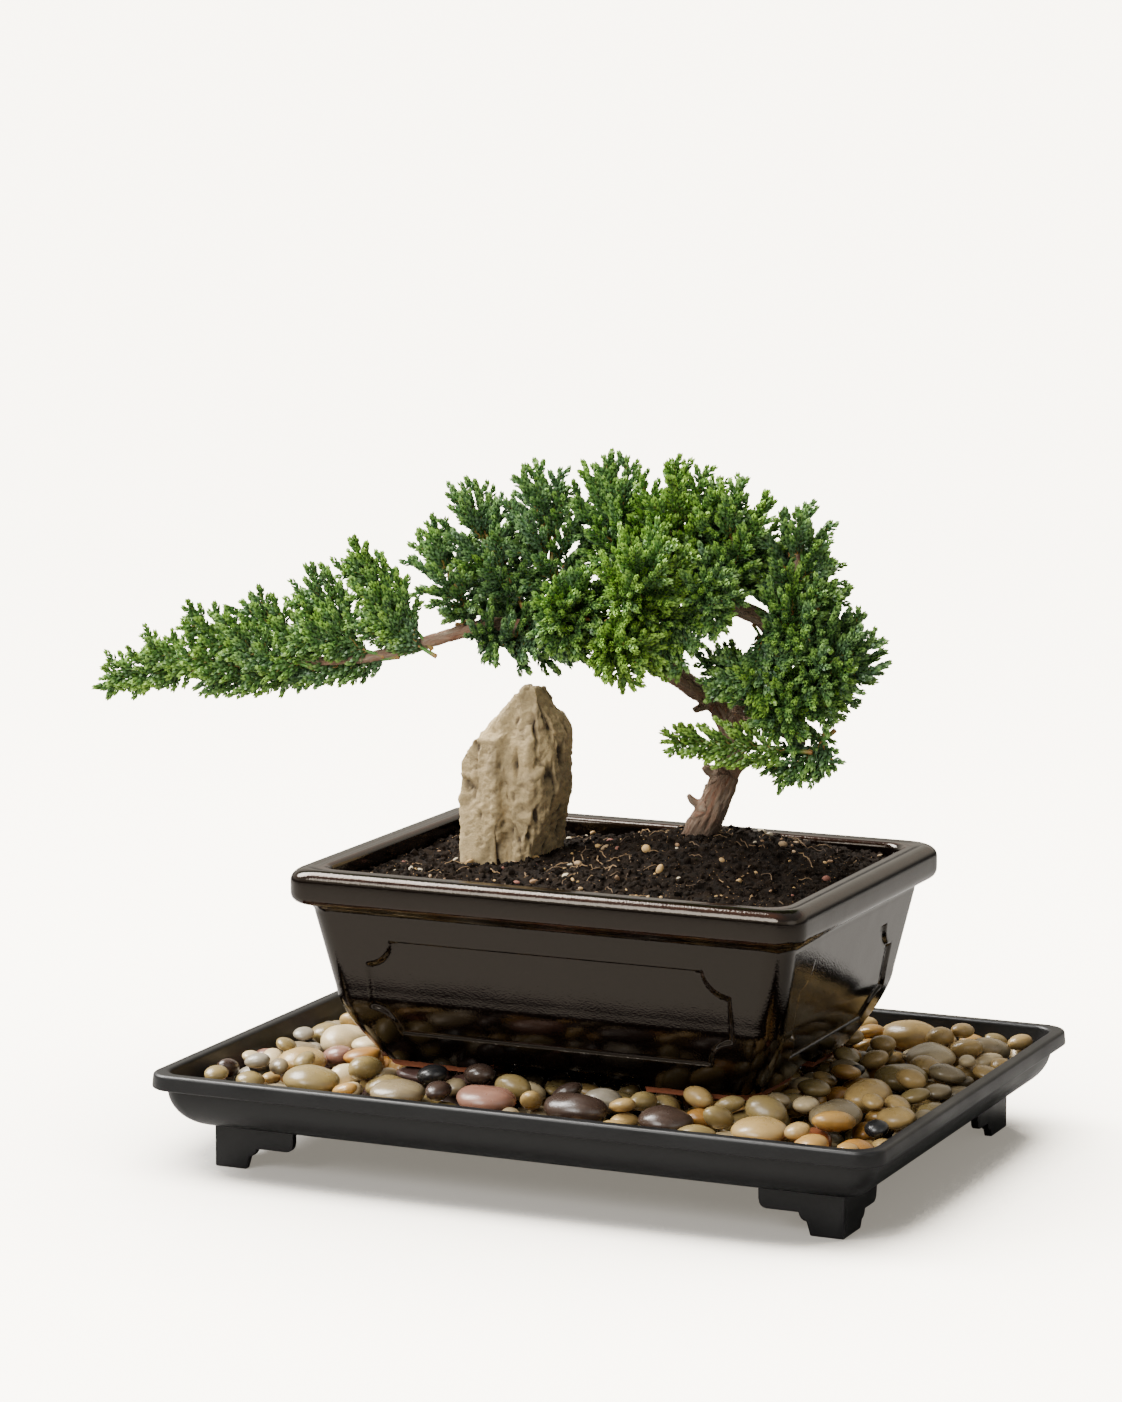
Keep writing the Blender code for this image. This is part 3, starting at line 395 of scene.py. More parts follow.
class Nodes:
    """Adds nodes to one tree and joins their sockets."""

    def __init__(self, tree):
        self.tree = tree

    def feed(self, socket, value):
        if isinstance(value, bpy.types.NodeSocket):
            self.tree.links.new(value, socket)
        else:
            socket.default_value = value

    def add(self, kind, inputs=None, **settings):
        node = self.tree.nodes.new(kind)
        for name, value in settings.items():
            setattr(node, name, value)
        for name, value in (inputs or {}).items():
            self.feed(node.inputs[name], value)
        return node

    def out(self, kind, inputs=None, **settings):
        return self.add(kind, inputs, **settings).outputs[0]

    def maths(self, operation, first, second=0.0, third=0.0, clamp=False):
        inputs = {0: first, 1: second, 2: third}
        return self.out("ShaderNodeMath", inputs, operation=operation, use_clamp=clamp)

    def vector_maths(self, operation, first, second=(0.0, 0.0, 0.0)):
        return self.out("ShaderNodeVectorMath", {0: first, 1: second}, operation=operation)

    def scaled(self, vector, scale):
        return self.out("ShaderNodeVectorMath", {0: vector, "Scale": scale}, operation="SCALE")

    def vector(self, x=0.0, y=0.0, z=0.0):
        return self.out("ShaderNodeCombineXYZ", {0: x, 1: y, 2: z})

    def upright(self, vector):
        return self.add("ShaderNodeSeparateXYZ", {0: vector}).outputs["Z"]

    def mix(self, share, first, second, blend="MIX"):
        inputs = {0: share, 6: rgba(first), 7: rgba(second)}
        return self.add("ShaderNodeMix", inputs, data_type="RGBA", blend_type=blend).outputs[2]

    def span(self, value, from_low, from_high, to_low=0.0, to_high=1.0):
        return self.out("ShaderNodeMapRange", {0: value, 1: from_low, 2: from_high, 3: to_low, 4: to_high})

    def noise(self, place, scale, detail=3.0, rough=0.55):
        inputs = {"Vector": place, "Scale": scale, "Detail": detail, "Roughness": rough}
        return self.add("ShaderNodeTexNoise", inputs).outputs["Fac"]

    def ramp(self, value, stops, interpolation="LINEAR"):
        node = self.add("ShaderNodeValToRGB", {0: value})
        elements = node.color_ramp.elements
        node.color_ramp.interpolation = interpolation
        while len(elements) < len(stops):
            elements.new(1.0)
        for element, (position, colour) in zip(elements, stops):
            element.position = position
            element.color = rgba(colour)
        return node.outputs[0]

    def place(self):
        return self.add("ShaderNodeTexCoord").outputs["Object"]

    def attribute(self, name, output="Fac"):
        return self.add("ShaderNodeAttribute", attribute_name=name).outputs[output]

    def group(self, name, **values):
        """A shared group, with values by its sockets' names in lower case."""
        node = self.add("ShaderNodeGroup", node_tree=shared_group(name))
        for label, value in values.items():
            self.feed(node.inputs[label.replace("_", " ").title()], value)
        return node.outputs

    def named(self, name, kind="FLOAT"):
        return self.out("GeometryNodeInputNamedAttribute", {"Name": name}, data_type=kind)

    def store(self, geometry, name, value):
        inputs = {"Geometry": geometry, "Name": name, "Value": value}
        return self.out("GeometryNodeStoreNamedAttribute", inputs, data_type="FLOAT", domain="POINT")

    def chance(self, low, high, seed):
        inputs = {2: low, 3: high, "Seed": seed}
        return self.add("FunctionNodeRandomValue", inputs, data_type="FLOAT").outputs[1]

    def copies(self, points, instance, rotation, scale):
        inputs = {"Points": points, "Instance": instance, "Rotation": rotation, "Scale": scale}
        return self.out("GeometryNodeInstanceOnPoints", inputs)

    def shifted(self, geometry, offset):
        return self.out("GeometryNodeSetPosition", {"Geometry": geometry, "Offset": offset})

    def join(self, *parts):
        node = self.add("GeometryNodeJoinGeometry")
        for part in parts:
            self.tree.links.new(part, node.inputs[0])
        return node.outputs[0]

    def real(self, geometry):
        return self.out("GeometryNodeRealizeInstances", {"Geometry": geometry})


def new_material(name):
    """The nodes helper for a new material that has only its Principled BSDF."""
    material = bpy.data.materials.new(name)
    material.use_nodes = True
    nodes = Nodes(material.node_tree)
    nodes.material = material
    return nodes


def finish_material(nodes, colour, roughness, relief=None, constants=None):
    """Feed the Principled BSDF; relief is a height, a distance and a strength."""
    sockets = nodes.tree.nodes["Principled BSDF"].inputs
    nodes.feed(sockets["Base Color"], colour)
    nodes.feed(sockets["Roughness"], roughness)
    if relief:
        inputs = dict(zip(("Height", "Distance", "Strength"), relief))
        nodes.feed(sockets["Normal"], nodes.out("ShaderNodeBump", inputs))
    for name, value in (constants or {}).items():
        sockets[name].default_value = value
    return nodes.material


def new_group(name, kind, inputs, outputs):
    """A node group with named sockets; inputs are a name, a socket type and sometimes a default."""
    tree = bpy.data.node_groups.new(name, kind + "NodeTree")
    for label, socket_type, *default in inputs:
        socket = tree.interface.new_socket(name=label, in_out="INPUT", socket_type="NodeSocket" + socket_type)
        if default:
            socket.default_value = default[0]
    for label, socket_type in outputs:
        tree.interface.new_socket(name=label, in_out="OUTPUT", socket_type="NodeSocket" + socket_type)
    return Nodes(tree), tree.nodes.new("NodeGroupInput").outputs, tree.nodes.new("NodeGroupOutput").inputs


def geometry_group(name, *inputs):
    """A geometry node group that takes and gives geometry, with these further inputs."""
    return new_group(name, "Geometry", [("Geometry", "Geometry"), *inputs], [("Geometry", "Geometry")])


def shared_group(name):
    """The groups that are used more than once, each built the first time it is asked for."""
    return bpy.data.node_groups.get(name) or GROUP_MAKERS[name](name)


def make_mottling(name):
    """Cloudy patches with fine speckles, as in stone, bark and earth."""
    nodes, given, result = new_group(
        name, "Shader",
        [("Place", "Vector"), ("Patch Scale", "Float", 120.0), ("Speckle Scale", "Float", 900.0),
         ("Contrast", "Float", 0.3)],
        [("Patches", "Float"), ("Speckles", "Float"), ("Height", "Float")],
    )
    patches = nodes.noise(given["Place"], given["Patch Scale"], detail=5.0, rough=0.6)
    half_contrast = nodes.maths("MULTIPLY", given["Contrast"], 0.5)
    low = nodes.maths("SUBTRACT", 0.5, half_contrast)
    high = nodes.maths("ADD", 0.5, half_contrast)
    speckles = nodes.noise(given["Place"], given["Speckle Scale"], detail=2.0, rough=0.7)
    nodes.feed(result["Patches"], nodes.span(patches, low, high))
    nodes.feed(result["Speckles"], nodes.span(speckles, 0.42, 0.72))
    nodes.feed(result["Height"], nodes.maths("MULTIPLY_ADD", patches, 0.7, speckles))
    return nodes.tree


def make_surface_grain(name):
    """A fine even grain with slow waves under it, as moulded plastic and poured glaze have."""
    nodes, given, result = new_group(
        name, "Shader",
        [("Place", "Vector"), ("Grain Scale", "Float", 2500.0), ("Wave Scale", "Float", 60.0),
         ("Wave Share", "Float", 0.5)],
        [("Height", "Float"), ("Waves", "Float")],
    )
    grain = nodes.noise(given["Place"], given["Grain Scale"], detail=1.0, rough=0.5)
    waves = nodes.noise(given["Place"], given["Wave Scale"], detail=2.0, rough=0.4)
    weighted = nodes.maths("MULTIPLY", waves, given["Wave Share"])
    nodes.feed(result["Height"], nodes.maths("ADD", grain, weighted))
    nodes.feed(result["Waves"], waves)
    return nodes.tree


# Materials -------------------------------------------------------------------------------------------

def tray_plastic(colours):
    nodes = new_material("tray_plastic")
    grain = nodes.group("Surface Grain", place=nodes.place(), grain_scale=2600.0, wave_scale=45.0,
                        wave_share=0.6)
    # Painted highlight: a lighter line along the rim's top edge; the feet are lighter along their bottom edge
    # too.
    old_mesh_and_rim_highlight = nodes.span(nodes.attribute("edge"), 0.25, 1.0, 0.0, 0.55)
    dusty = nodes.span(grain["Waves"], 0.35, 0.75, 0.0, 0.30)
    lighter = [min(1.0, 2.4 * part + 0.004) for part in colours.tray]
    colour = nodes.mix(nodes.maths("ADD", old_mesh_and_rim_highlight, dusty, clamp=True), colours.tray, lighter)
    roughness = nodes.span(grain["Waves"], 0.3, 0.7, 0.34, 0.44)
    return finish_material(nodes, colour, roughness, (grain["Height"], 0.00004, 0.6), {"IOR": 1.40})


def pot_glaze(colours):
    nodes = new_material("pot_glaze")
    place = nodes.place()
    grain = nodes.group("Surface Grain", place=place, grain_scale=1500.0, wave_scale=38.0, wave_share=6.0)
    wander = nodes.noise(place, 70.0, detail=3.0)
    bare_line = nodes.maths("MULTIPLY_ADD", wander, 0.0032, POT_BASE + 0.0006)
    bare = nodes.maths("LESS_THAN", nodes.upright(place), bare_line)
    streaks = nodes.noise(nodes.vector_maths("MULTIPLY", place, (1.0, 1.0, 0.25)), 160.0, detail=4.0)
    thin = nodes.maths("MULTIPLY", nodes.attribute("edge"), nodes.span(streaks, 0.30, 0.62, 0.45, 1.0))
    glazed = nodes.mix(thin, colours.glaze, colours.glaze_break)
    clay = nodes.mix(nodes.noise(place, 900.0), colours.clay, rgba(colours.clay, 0.55))
    gloss = nodes.span(grain["Waves"], 0.35, 0.65, 0.045, 0.085)
    roughness = nodes.maths("ADD", gloss, nodes.maths("MULTIPLY", bare, 0.75))
    return finish_material(nodes, nodes.mix(bare, glazed, clay), roughness, (grain["Height"], 0.00010, 0.40),
                           {"IOR": 1.46, "Specular Tint": (1.0, 0.89, 0.76, 1.0)})


def drain_plastic():
    nodes = new_material("drain_mesh_plastic")
    grain = nodes.group("Surface Grain", place=nodes.place(), grain_scale=1800.0)
    return finish_material(nodes, nodes.mix(grain["Waves"], (0.02, 0.02, 0.02), (0.05, 0.05, 0.05)), 0.55)


def dark_earth(colours):
    nodes = new_material("dark_earth")
    place = nodes.place()
    mottle = nodes.group("Mottling", place=place, patch_scale=260.0, speckle_scale=1700.0, contrast=0.35)
    brown = (3.6 * colours.soil[0], 3.2 * colours.soil[1], 2.6 * colours.soil[2])
    ground = nodes.mix(nodes.maths("MULTIPLY", mottle["Patches"], 0.75), colours.soil, brown)
    fleck = nodes.maths("GREATER_THAN", nodes.noise(place, 1150.0, detail=1.0), 0.735)
    roughness = nodes.span(mottle["Patches"], 0.0, 1.0, 0.78, 0.98)
    return finish_material(nodes, nodes.mix(fleck, ground, (0.36, 0.22, 0.10)), roughness,
                           (mottle["Height"], 0.0009, 1.0), {"Specular IOR Level": 0.12})


def grit_material():
    nodes = new_material("bark_and_grit")
    chips = nodes.ramp(nodes.attribute("tone"), [
        (0.00, (0.66, 0.42, 0.16)), (0.22, (0.52, 0.33, 0.13)), (0.40, (0.70, 0.60, 0.42)),
        (0.55, (0.34, 0.20, 0.10)), (0.72, (0.28, 0.10, 0.07)), (0.84, (0.44, 0.30, 0.16)),
    ], "CONSTANT")
    mottle = nodes.group("Mottling", place=nodes.place(), patch_scale=700.0, speckle_scale=2600.0)
    colour = nodes.mix(nodes.maths("MULTIPLY", mottle["Patches"], 0.4), chips, (0.12, 0.07, 0.04))
    return finish_material(nodes, colour, 0.82, (mottle["Height"], 0.00025, 0.8))


def root_thread():
    nodes = new_material("root_thread")
    patch = nodes.noise(nodes.place(), 55.0, detail=2.0)
    colour = nodes.ramp(patch, [(0.35, (0.07, 0.045, 0.028)), (0.62, (0.33, 0.21, 0.10))])
    return finish_material(nodes, colour, 0.85)


def standing_stone(colours):
    nodes = new_material("standing_stone")
    place = nodes.place()
    mottle = nodes.group("Mottling", place=place, patch_scale=75.0, speckle_scale=1300.0, contrast=0.42)
    pale = [min(1.0, 1.40 * part) for part in colours.stone]
    dull = (0.50 * colours.stone[0], 0.50 * colours.stone[1], 0.52 * colours.stone[2])
    body = nodes.mix(nodes.maths("MULTIPLY", mottle["Patches"], 0.7), colours.stone, pale)
    stain = nodes.span(nodes.noise(place, 42.0, detail=6.0, rough=0.65), 0.50, 0.68)
    body = nodes.mix(nodes.maths("MULTIPLY", stain, 0.85), body, dull)
    # Painted shade: cracks and pits are darkened, by their hollow value, nearly to black.
    crack = nodes.span(nodes.attribute("hollow"), 0.10, 0.75, 0.0, 0.92)
    body = nodes.mix(crack, body, (0.040, 0.027, 0.015))
    body = nodes.mix(nodes.maths("MULTIPLY", mottle["Speckles"], 0.30), body, (0.17, 0.13, 0.09))
    roughness = nodes.span(mottle["Patches"], 0.0, 1.0, 0.72, 0.92)
    return finish_material(nodes, body, roughness, (mottle["Height"], 0.0005, 0.7))


def river_pebble():
    nodes = new_material("river_pebble")
    tone = nodes.attribute("tone")
    starts = itertools.accumulate((share for _, share in PEBBLE_TONES), initial=0.0)
    body = nodes.ramp(tone, [(start, colour) for start, (colour, _) in zip(starts, PEBBLE_TONES)], "CONSTANT")
    own = nodes.vector(nodes.maths("MULTIPLY", tone, 37.0), 0.0, tone)
    place = nodes.vector_maths("ADD", nodes.place(), own)
    mottle = nodes.group("Mottling", place=place, patch_scale=110.0, speckle_scale=1500.0, contrast=0.5)
    darker = nodes.mix(1.0, body, (0.50, 0.40, 0.30), "MULTIPLY")
    patchy = nodes.mix(nodes.maths("MULTIPLY", mottle["Patches"], 0.38), body, darker)
    turned = nodes.vector_maths("MULTIPLY", place, (0.35, 1.0, 1.3))
    bands = nodes.span(nodes.noise(turned, 240.0, detail=3.0, rough=0.5), 0.53, 0.64, 0.0, 0.35)
    banded = nodes.mix(bands, patchy, nodes.mix(1.0, body, (1.35, 1.30, 1.20), "MULTIPLY"))
    colour = nodes.mix(nodes.maths("MULTIPLY", mottle["Speckles"], 0.16), banded, (0.09, 0.07, 0.05))
    roughness = nodes.span(mottle["Patches"], 0.0, 1.0, 0.20, 0.38)
    return finish_material(nodes, colour, roughness, (mottle["Height"], 0.00012, 0.5))


def flaky_bark(colours):
    nodes = new_material("juniper_bark")
    along_grain = nodes.vector_maths("MULTIPLY", nodes.attribute("grain", "Vector"), (0.18, 1.0, 1.0))
    fibres = nodes.noise(along_grain, 1300.0, detail=5.0, rough=0.65)
    mottle = nodes.group("Mottling", place=along_grain, patch_scale=420.0, speckle_scale=2400.0, contrast=0.4)
    red = (1.05 * colours.bark[0], 0.62 * colours.bark[1], 0.50 * colours.bark[2])
    grey = (1.10 * colours.bark[0], 1.22 * colours.bark[1], 1.32 * colours.bark[2])
    body = nodes.mix(mottle["Patches"], red, grey)
    body = nodes.mix(nodes.span(fibres, 0.42, 0.62, 0.0, 0.55), body, (0.33, 0.245, 0.170))
    # Painted shade: the bark's cracks are darkened by their hollow value.
    crack = nodes.span(nodes.attribute("hollow"), 0.35, 1.0, 0.0, 0.70)
    body = nodes.mix(crack, body, (0.050, 0.032, 0.022))
    # The bark darkens towards the soil line.
    darker_near_soil = nodes.span(nodes.upright(nodes.place()), SOIL_TOP - 0.002, SOIL_TOP + 0.010, 0.80, 0.0)
    relief = nodes.maths("ADD", fibres, mottle["Height"])
    return finish_material(nodes, nodes.mix(darker_near_soil, body, (0.030, 0.020, 0.014)),
                           nodes.span(fibres, 0.3, 0.7, 0.75, 0.95), (relief, 0.0009, 1.0),
                           {"Specular IOR Level": 0.2})


def scale_leaf(colours):
    nodes = new_material("juniper_leaf")
    place = nodes.place()
    age = nodes.attribute("along")
    patch = nodes.noise(place, 140.0, detail=2.0)
    own = nodes.noise(place, 900.0, detail=0.0)
    yellow = nodes.maths("MULTIPLY_ADD", nodes.maths("SUBTRACT", patch, 0.5), 0.55, nodes.attribute("tone"))
    older = nodes.mix(nodes.span(yellow, 0.18, 0.62), colours.leaf_blue, colours.leaf_green)
    youth = nodes.maths("MULTIPLY", nodes.span(age, 0.35, 1.0), nodes.span(yellow, 0.15, 0.95, 0.25, 1.0))
    fresh = nodes.maths("ADD", youth, nodes.span(yellow, 0.62, 1.05, 0.0, 0.45), clamp=True)
    body = nodes.mix(fresh, older, colours.leaf_bright)
    # Painted shade and highlight: each leaf is darkened at its base, where the leaves overlap, and lightened
    # to a whitish highlight at its tip, less so on old shoots.
    young_shoot = nodes.span(age, 0.0, 0.6, 0.45, 1.0)
    rise = nodes.maths("MULTIPLY", nodes.span(nodes.attribute("up_leaf"), 0.10, 0.95), young_shoot)
    body = nodes.mix(1.0, body, nodes.mix(rise, (0.16, 0.19, 0.16), (1.45, 1.35, 1.30)), "MULTIPLY")
    darker = nodes.mix(1.0, body, (0.60, 0.66, 0.64), "MULTIPLY")
    varied = nodes.mix(nodes.span(own, 0.35, 0.70, 0.0, 0.4), body, darker)
    return finish_material(nodes, varied, nodes.span(own, 0.3, 0.7, 0.36, 0.55))


def green_stem(colours):
    nodes = new_material("juniper_stem")
    woody = nodes.mix(nodes.noise(nodes.place(), 600.0), (0.30, 0.135, 0.045), (0.42, 0.23, 0.055))
    young = nodes.span(nodes.attribute("along"), 0.05, 0.45)
    return finish_material(nodes, nodes.mix(young, woody, colours.leaf_green), 0.6)


def studio_floor(colours):
    """Pale card that glows near white to the camera, and faintly on the walls in glossy reflections; a
    painted shadow, from ambient occlusion turned toward the key light, darkens the glow where the object
    stands in the key light's way.
    """
    nodes = new_material("studio_floor")
    place = nodes.place()
    height = nodes.upright(place)
    card = nodes.mix(nodes.noise(place, 2.0, detail=1.0), colours.floor, rgba(colours.floor, 0.985))
    colour = nodes.mix(nodes.span(height, 0.1, 0.9), card, rgba(colours.floor, 0.35))
    to_key = tuple(Vector((-0.62, 0.22, 0.75)).normalized())
    # Painted shadow: ambient occlusion, with its normal turned toward the key light, dims the glow on the
    # side away from the key.
    open_sky = nodes.add("ShaderNodeAmbientOcclusion", {"Distance": 0.30, "Normal": to_key}, samples=16)
    painted_key_light = nodes.span(open_sky.outputs["AO"], 0.45, 0.98, 0.03, 1.0)
    path = nodes.add("ShaderNodeLightPath").outputs
    mirrored = nodes.maths("MULTIPLY", path["Is Glossy Ray"], nodes.span(height, 0.25, 0.9, 0.0, 0.10))
    seen = nodes.maths("ADD", path["Is Camera Ray"], mirrored)
    # The floor and walls glow though they are no lamp: near white to camera rays, and a little on the walls
    # to glossy rays.
    glow = nodes.maths("MULTIPLY", nodes.maths("MULTIPLY", painted_key_light, 8.5), seen)
    nodes.feed(nodes.tree.nodes["Principled BSDF"].inputs["Emission Strength"], glow)
    return finish_material(nodes, colour, 0.9, constants={"Emission Color": (1.0, 0.920, 0.780, 1.0)})


# Tray ------------------------------------------------------------------------------------------------

def rounded_ring(half_x, half_y, radius, z, stops_x, stops_y, corner_steps):
    """One anticlockwise rounded rectangle round the pot's middle; stops run from -1 to 1."""
    points = []
    straight_x = half_x - radius
    straight_y = half_y - radius
    sides = (
        [(straight_x * stop, -half_y) for stop in stops_x],
        [(half_x, straight_y * stop) for stop in stops_y],
        [(-straight_x * stop, half_y) for stop in stops_x],
        [(-half_x, -straight_y * stop) for stop in stops_y],
    )
    corners = ((straight_x, -straight_y), (straight_x, straight_y), (-straight_x, straight_y),
               (-straight_x, -straight_y))
    for number, (side, (centre_x, centre_y)) in enumerate(zip(sides, corners)):
        points.extend(side)
        for step in range(corner_steps + 1):
            angle = math.radians(90.0 * number - 90.0 + 90.0 * step / corner_steps)
            points.append((centre_x + radius * math.cos(angle), centre_y + radius * math.sin(angle)))
    return np.array([(PLANTING_X + x, y, z) for x, y in points])


def tray_body_inset(z):
    top = TRAY_HEIGHT - TRAY_RIM_HEIGHT
    fall = min(1.0, max(0.0, (top - z) / (top - TRAY_FOOT_HEIGHT)))
    swell = TRAY_BODY_INSET - TRAY_RIM_OVERHANG
    return TRAY_RIM_OVERHANG + swell * (1.0 - math.sqrt(1.0 - fall * fall))


def tray_inner_inset(z):
    return tray_body_inset(z - TRAY_WALL * 0.6) + TRAY_WALL


def foot_plate(name, leg, flange, shoulder, matrix):
    """One arm of an L-shaped foot, with softened corners: a leg, a rounded shoulder and a flange."""
    top = TRAY_FOOT_HEIGHT + TRAY_WALL / 2.0
    corner = 0.003
    outline = [(0.0, 0.0), (leg, 0.0), (leg + 0.0015, shoulder - corner)]
    for sine, cosine in quarter(4, 1):
        outline.append((leg + 0.0015 + corner * sine * 0.9 + corner * (1 - cosine) * 0.1,
                        shoulder - corner * cosine))
    for sine, cosine in quarter(4):
        outline.append((flange - corner + corner * sine, shoulder + corner * (1 - cosine)))
    outline += [(flange, top), (0.0, top)]
    shape = bmesh.new()
    front = shape.faces.new([shape.verts.new((x, y, 0.0)) for x, y in outline])
    grown = bmesh.ops.extrude_face_region(shape, geom=[front])
    raised = [part for part in grown["geom"] if isinstance(part, bmesh.types.BMVert)]
    bmesh.ops.translate(shape, verts=raised, vec=(0.0, 0.0, TRAY_FOOT_THICKNESS))
    low_edges = [edge for edge in shape.edges
                 if edge.calc_face_angle(0.0) > 0.7 and max(vert.co.y for vert in edge.verts) < top - 1e-5]
    bmesh.ops.bevel(shape, geom=low_edges, offset=0.0005, segments=2, profile=0.6, affect="EDGES")
    bmesh.ops.transform(shape, matrix=matrix, verts=shape.verts)
    bmesh.ops.recalc_face_normals(shape, faces=shape.faces)
    return new_object(name, keep_shape(shape, name))


def tray_feet():
    plates = []
    for side_x, side_y in itertools.product((-1.0, 1.0), repeat=2):
        x = PLANTING_X + side_x * (TRAY_HALF_X - TRAY_BODY_INSET - 0.001)
        y = side_y * (TRAY_HALF_Y - TRAY_BODY_INSET - 0.001)
        along_x = Matrix(((-side_x, 0, 0, x), (0, 0, -side_y, y), (0, 1, 0, 0), (0, 0, 0, 1)))
        along_y = Matrix(((0, 0, -side_x, x), (-side_y, 0, 0, y), (0, 1, 0, 0), (0, 0, 0, 1)))
        plates.append(foot_plate("long_arm", 0.0125, 0.032, 0.008, along_x))
        plates.append(foot_plate("short_arm", 0.017, 0.033, 0.006, along_y))
    return plates


def tray_profile():
    """Insets and heights of the outside and rim, then of the inside down to the floor."""
    rim_bottom = TRAY_HEIGHT - TRAY_RIM_HEIGHT
    falls = [(rim_bottom - TRAY_FOOT_HEIGHT) * sine for sine, _ in quarter(12)]
    profile = [(tray_body_inset(rim_bottom - fall), rim_bottom - fall) for fall in reversed(falls)]
    round_edge = 0.0009
    underside = rim_bottom + 0.0001
    profile += [(TRAY_RIM_OVERHANG - 0.0004, underside), (round_edge, underside)]
    profile += [(round_edge * (1 - sine) + 0.0001, underside + round_edge * (1 - cosine))
                for sine, cosine in quarter(4)]
    soft = 0.0013
    profile += [(soft * (1 - cosine) + 0.0004, TRAY_HEIGHT - soft * (1 - sine))
                for sine, cosine in quarter(6)]
    profile += [(TRAY_RIM_WIDTH - soft * (1 - sine), TRAY_HEIGHT - soft * (1 - cosine))
                for sine, cosine in quarter(6)]
    inside = [rim_bottom] + [rim_bottom - fall + TRAY_WALL for fall in falls[1:]]
    return profile + [(tray_inner_inset(z), z) for z in inside]


class JUNIPER_OT_humidity_tray(bpy.types.Operator):
    """Make the footed humidity tray"""

    bl_idname = "juniper.humidity_tray"
    bl_label = "Humidity Tray"

    def execute(self, context):
        stops = [index / 12.0 - 1.0 for index in range(1, 24)]
        rings = np.array([
            rounded_ring(TRAY_HALF_X - inset, TRAY_HALF_Y - inset,
                         max(0.004, TRAY_CORNER_RADIUS - inset * 0.3), z, stops, stops, 10)
            for inset, z in tray_profile()
        ])
        tray = new_object("humidity_tray_finish", skin_rings("humidity_tray_finish", rings))
        combine(tray, tray_feet(), "UNION")
        repaint(tray, tray_plastic(context.scene.juniper_colours))
        # The edge value marks the rim's top edge, for its painted highlight, and the feet's bottom edge.
        x, y, z = vector_table(tray.data.vertices, "co").T
        outside = np.maximum(np.abs(x - PLANTING_X) - TRAY_HALF_X, np.abs(y) - TRAY_HALF_Y)
        corner = 1.0 - np.clip(np.abs(TRAY_HEIGHT - z) / 0.0015, 0.0, 1.0)
        rim = np.clip(1.0 + outside / 0.0025, 0.0, 1.0)
        foot = 1.0 - np.clip(z / 0.0012, 0.0, 1.0)
        store_values(tray.data, "edge", np.maximum(corner * rim, foot))
        smooth(tray.data, 38.0)
        finish_piece(tray, "tray_plastic", "humidity_tray")
        return {"FINISHED"}


# Pot -------------------------------------------------------------------------------------------------

def pot_wall_inset(height):
    if height >= BELLY_HEIGHT:
        share = (WALL_TOP - height) / (WALL_TOP - BELLY_HEIGHT)
        return LIP_OVERHANG + WALL_DRAFT * max(0.0, share)
    fall = (BELLY_HEIGHT - height) / BELLY_HEIGHT
    return LIP_OVERHANG + WALL_DRAFT + BELLY_INSET * fall ** 1.5


def graded(*spans):
    """Values along a line: each span is (start, end, step)."""
    values = []
    for start, end, step in spans:
        count = max(1, round((end - start) / step))
        values += [start + (end - start) * index / count for index in range(count)]
    return values


def pot_profile():
    """Insets and heights of the outside and lip, then of the inside down to the floor."""
    profile = [(LIP_OVERHANG + WALL_DRAFT + BELLY_INSET - 0.0004, 0.0)]
    levels = graded((0.0008, 0.012, 0.0011), (0.012, 0.027, 0.0007), (0.027, 0.039, 0.0015),
                    (0.039, 0.054, 0.0007), (0.054, WALL_TOP, 0.0010))
    profile += [(pot_wall_inset(level), level) for level in levels]
    cove = LIP_UNDERSIDE - WALL_TOP
    profile += [(LIP_OVERHANG - 0.0042 * (1 - cosine), WALL_TOP + cove * sine) for sine, cosine in quarter(8)]
    under = 0.0030
    profile += [(under * (1 - sine), LIP_UNDERSIDE + under * (1 - cosine) * 1.3)
                for sine, cosine in quarter(7, 1)]
    top = 0.0048
    profile += [(top * (1 - cosine), POT_HEIGHT - top * (1 - sine) * 0.95) for sine, cosine in quarter(9)]
    profile += [(inset, POT_HEIGHT - 0.0005 * math.sin(math.pi * (inset - top) / (LIP_WIDTH - top)))
                for inset in graded((top + 0.001, LIP_WIDTH - 0.0022, 0.0009))]
    inner = 0.0022
    profile += [(LIP_WIDTH - inner * (1 - sine), POT_HEIGHT - 0.0003 - inner * (1 - cosine))
                for sine, cosine in quarter(6)]
    profile.append((LIP_WIDTH, POT_HEIGHT - 0.009))
    for height in graded((WALL_TOP - 0.002, POT_FLOOR_TOP, -0.004)) + [POT_FLOOR_TOP]:
        profile.append((max(LIP_WIDTH, pot_wall_inset(height) + POT_WALL), height))
    return profile


def panel_depth(x, y, height):
    """How far each place on the four walls is pressed in by its sunk, notch-cornered panel."""
    depth = np.zeros(len(x))
    up = abs(height - (PANEL_TOP + PANEL_BOTTOM) / 2.0)
    half_height = (PANEL_TOP - PANEL_BOTTOM) / 2.0
    for across, half_panel, on_wall in ((x, PANEL_HALF_X, y > POT_HALF_Y - 0.034),
                                        (y, PANEL_HALF_Y, x > POT_HALF_X - 0.034)):
        inside = np.minimum(half_panel - across, half_height - up)
        inside = np.minimum(inside, np.hypot(half_panel - across, half_height - up) - PANEL_NOTCH)
        pressed = PANEL_DEPTH * smooth_step(inside / PANEL_STEP)
        depth = np.where(on_wall, np.maximum(depth, pressed), depth)
    return depth


def smooth_step(value):
    value = np.clip(value, 0.0, 1.0)
    return value * value * (3.0 - 2.0 * value)


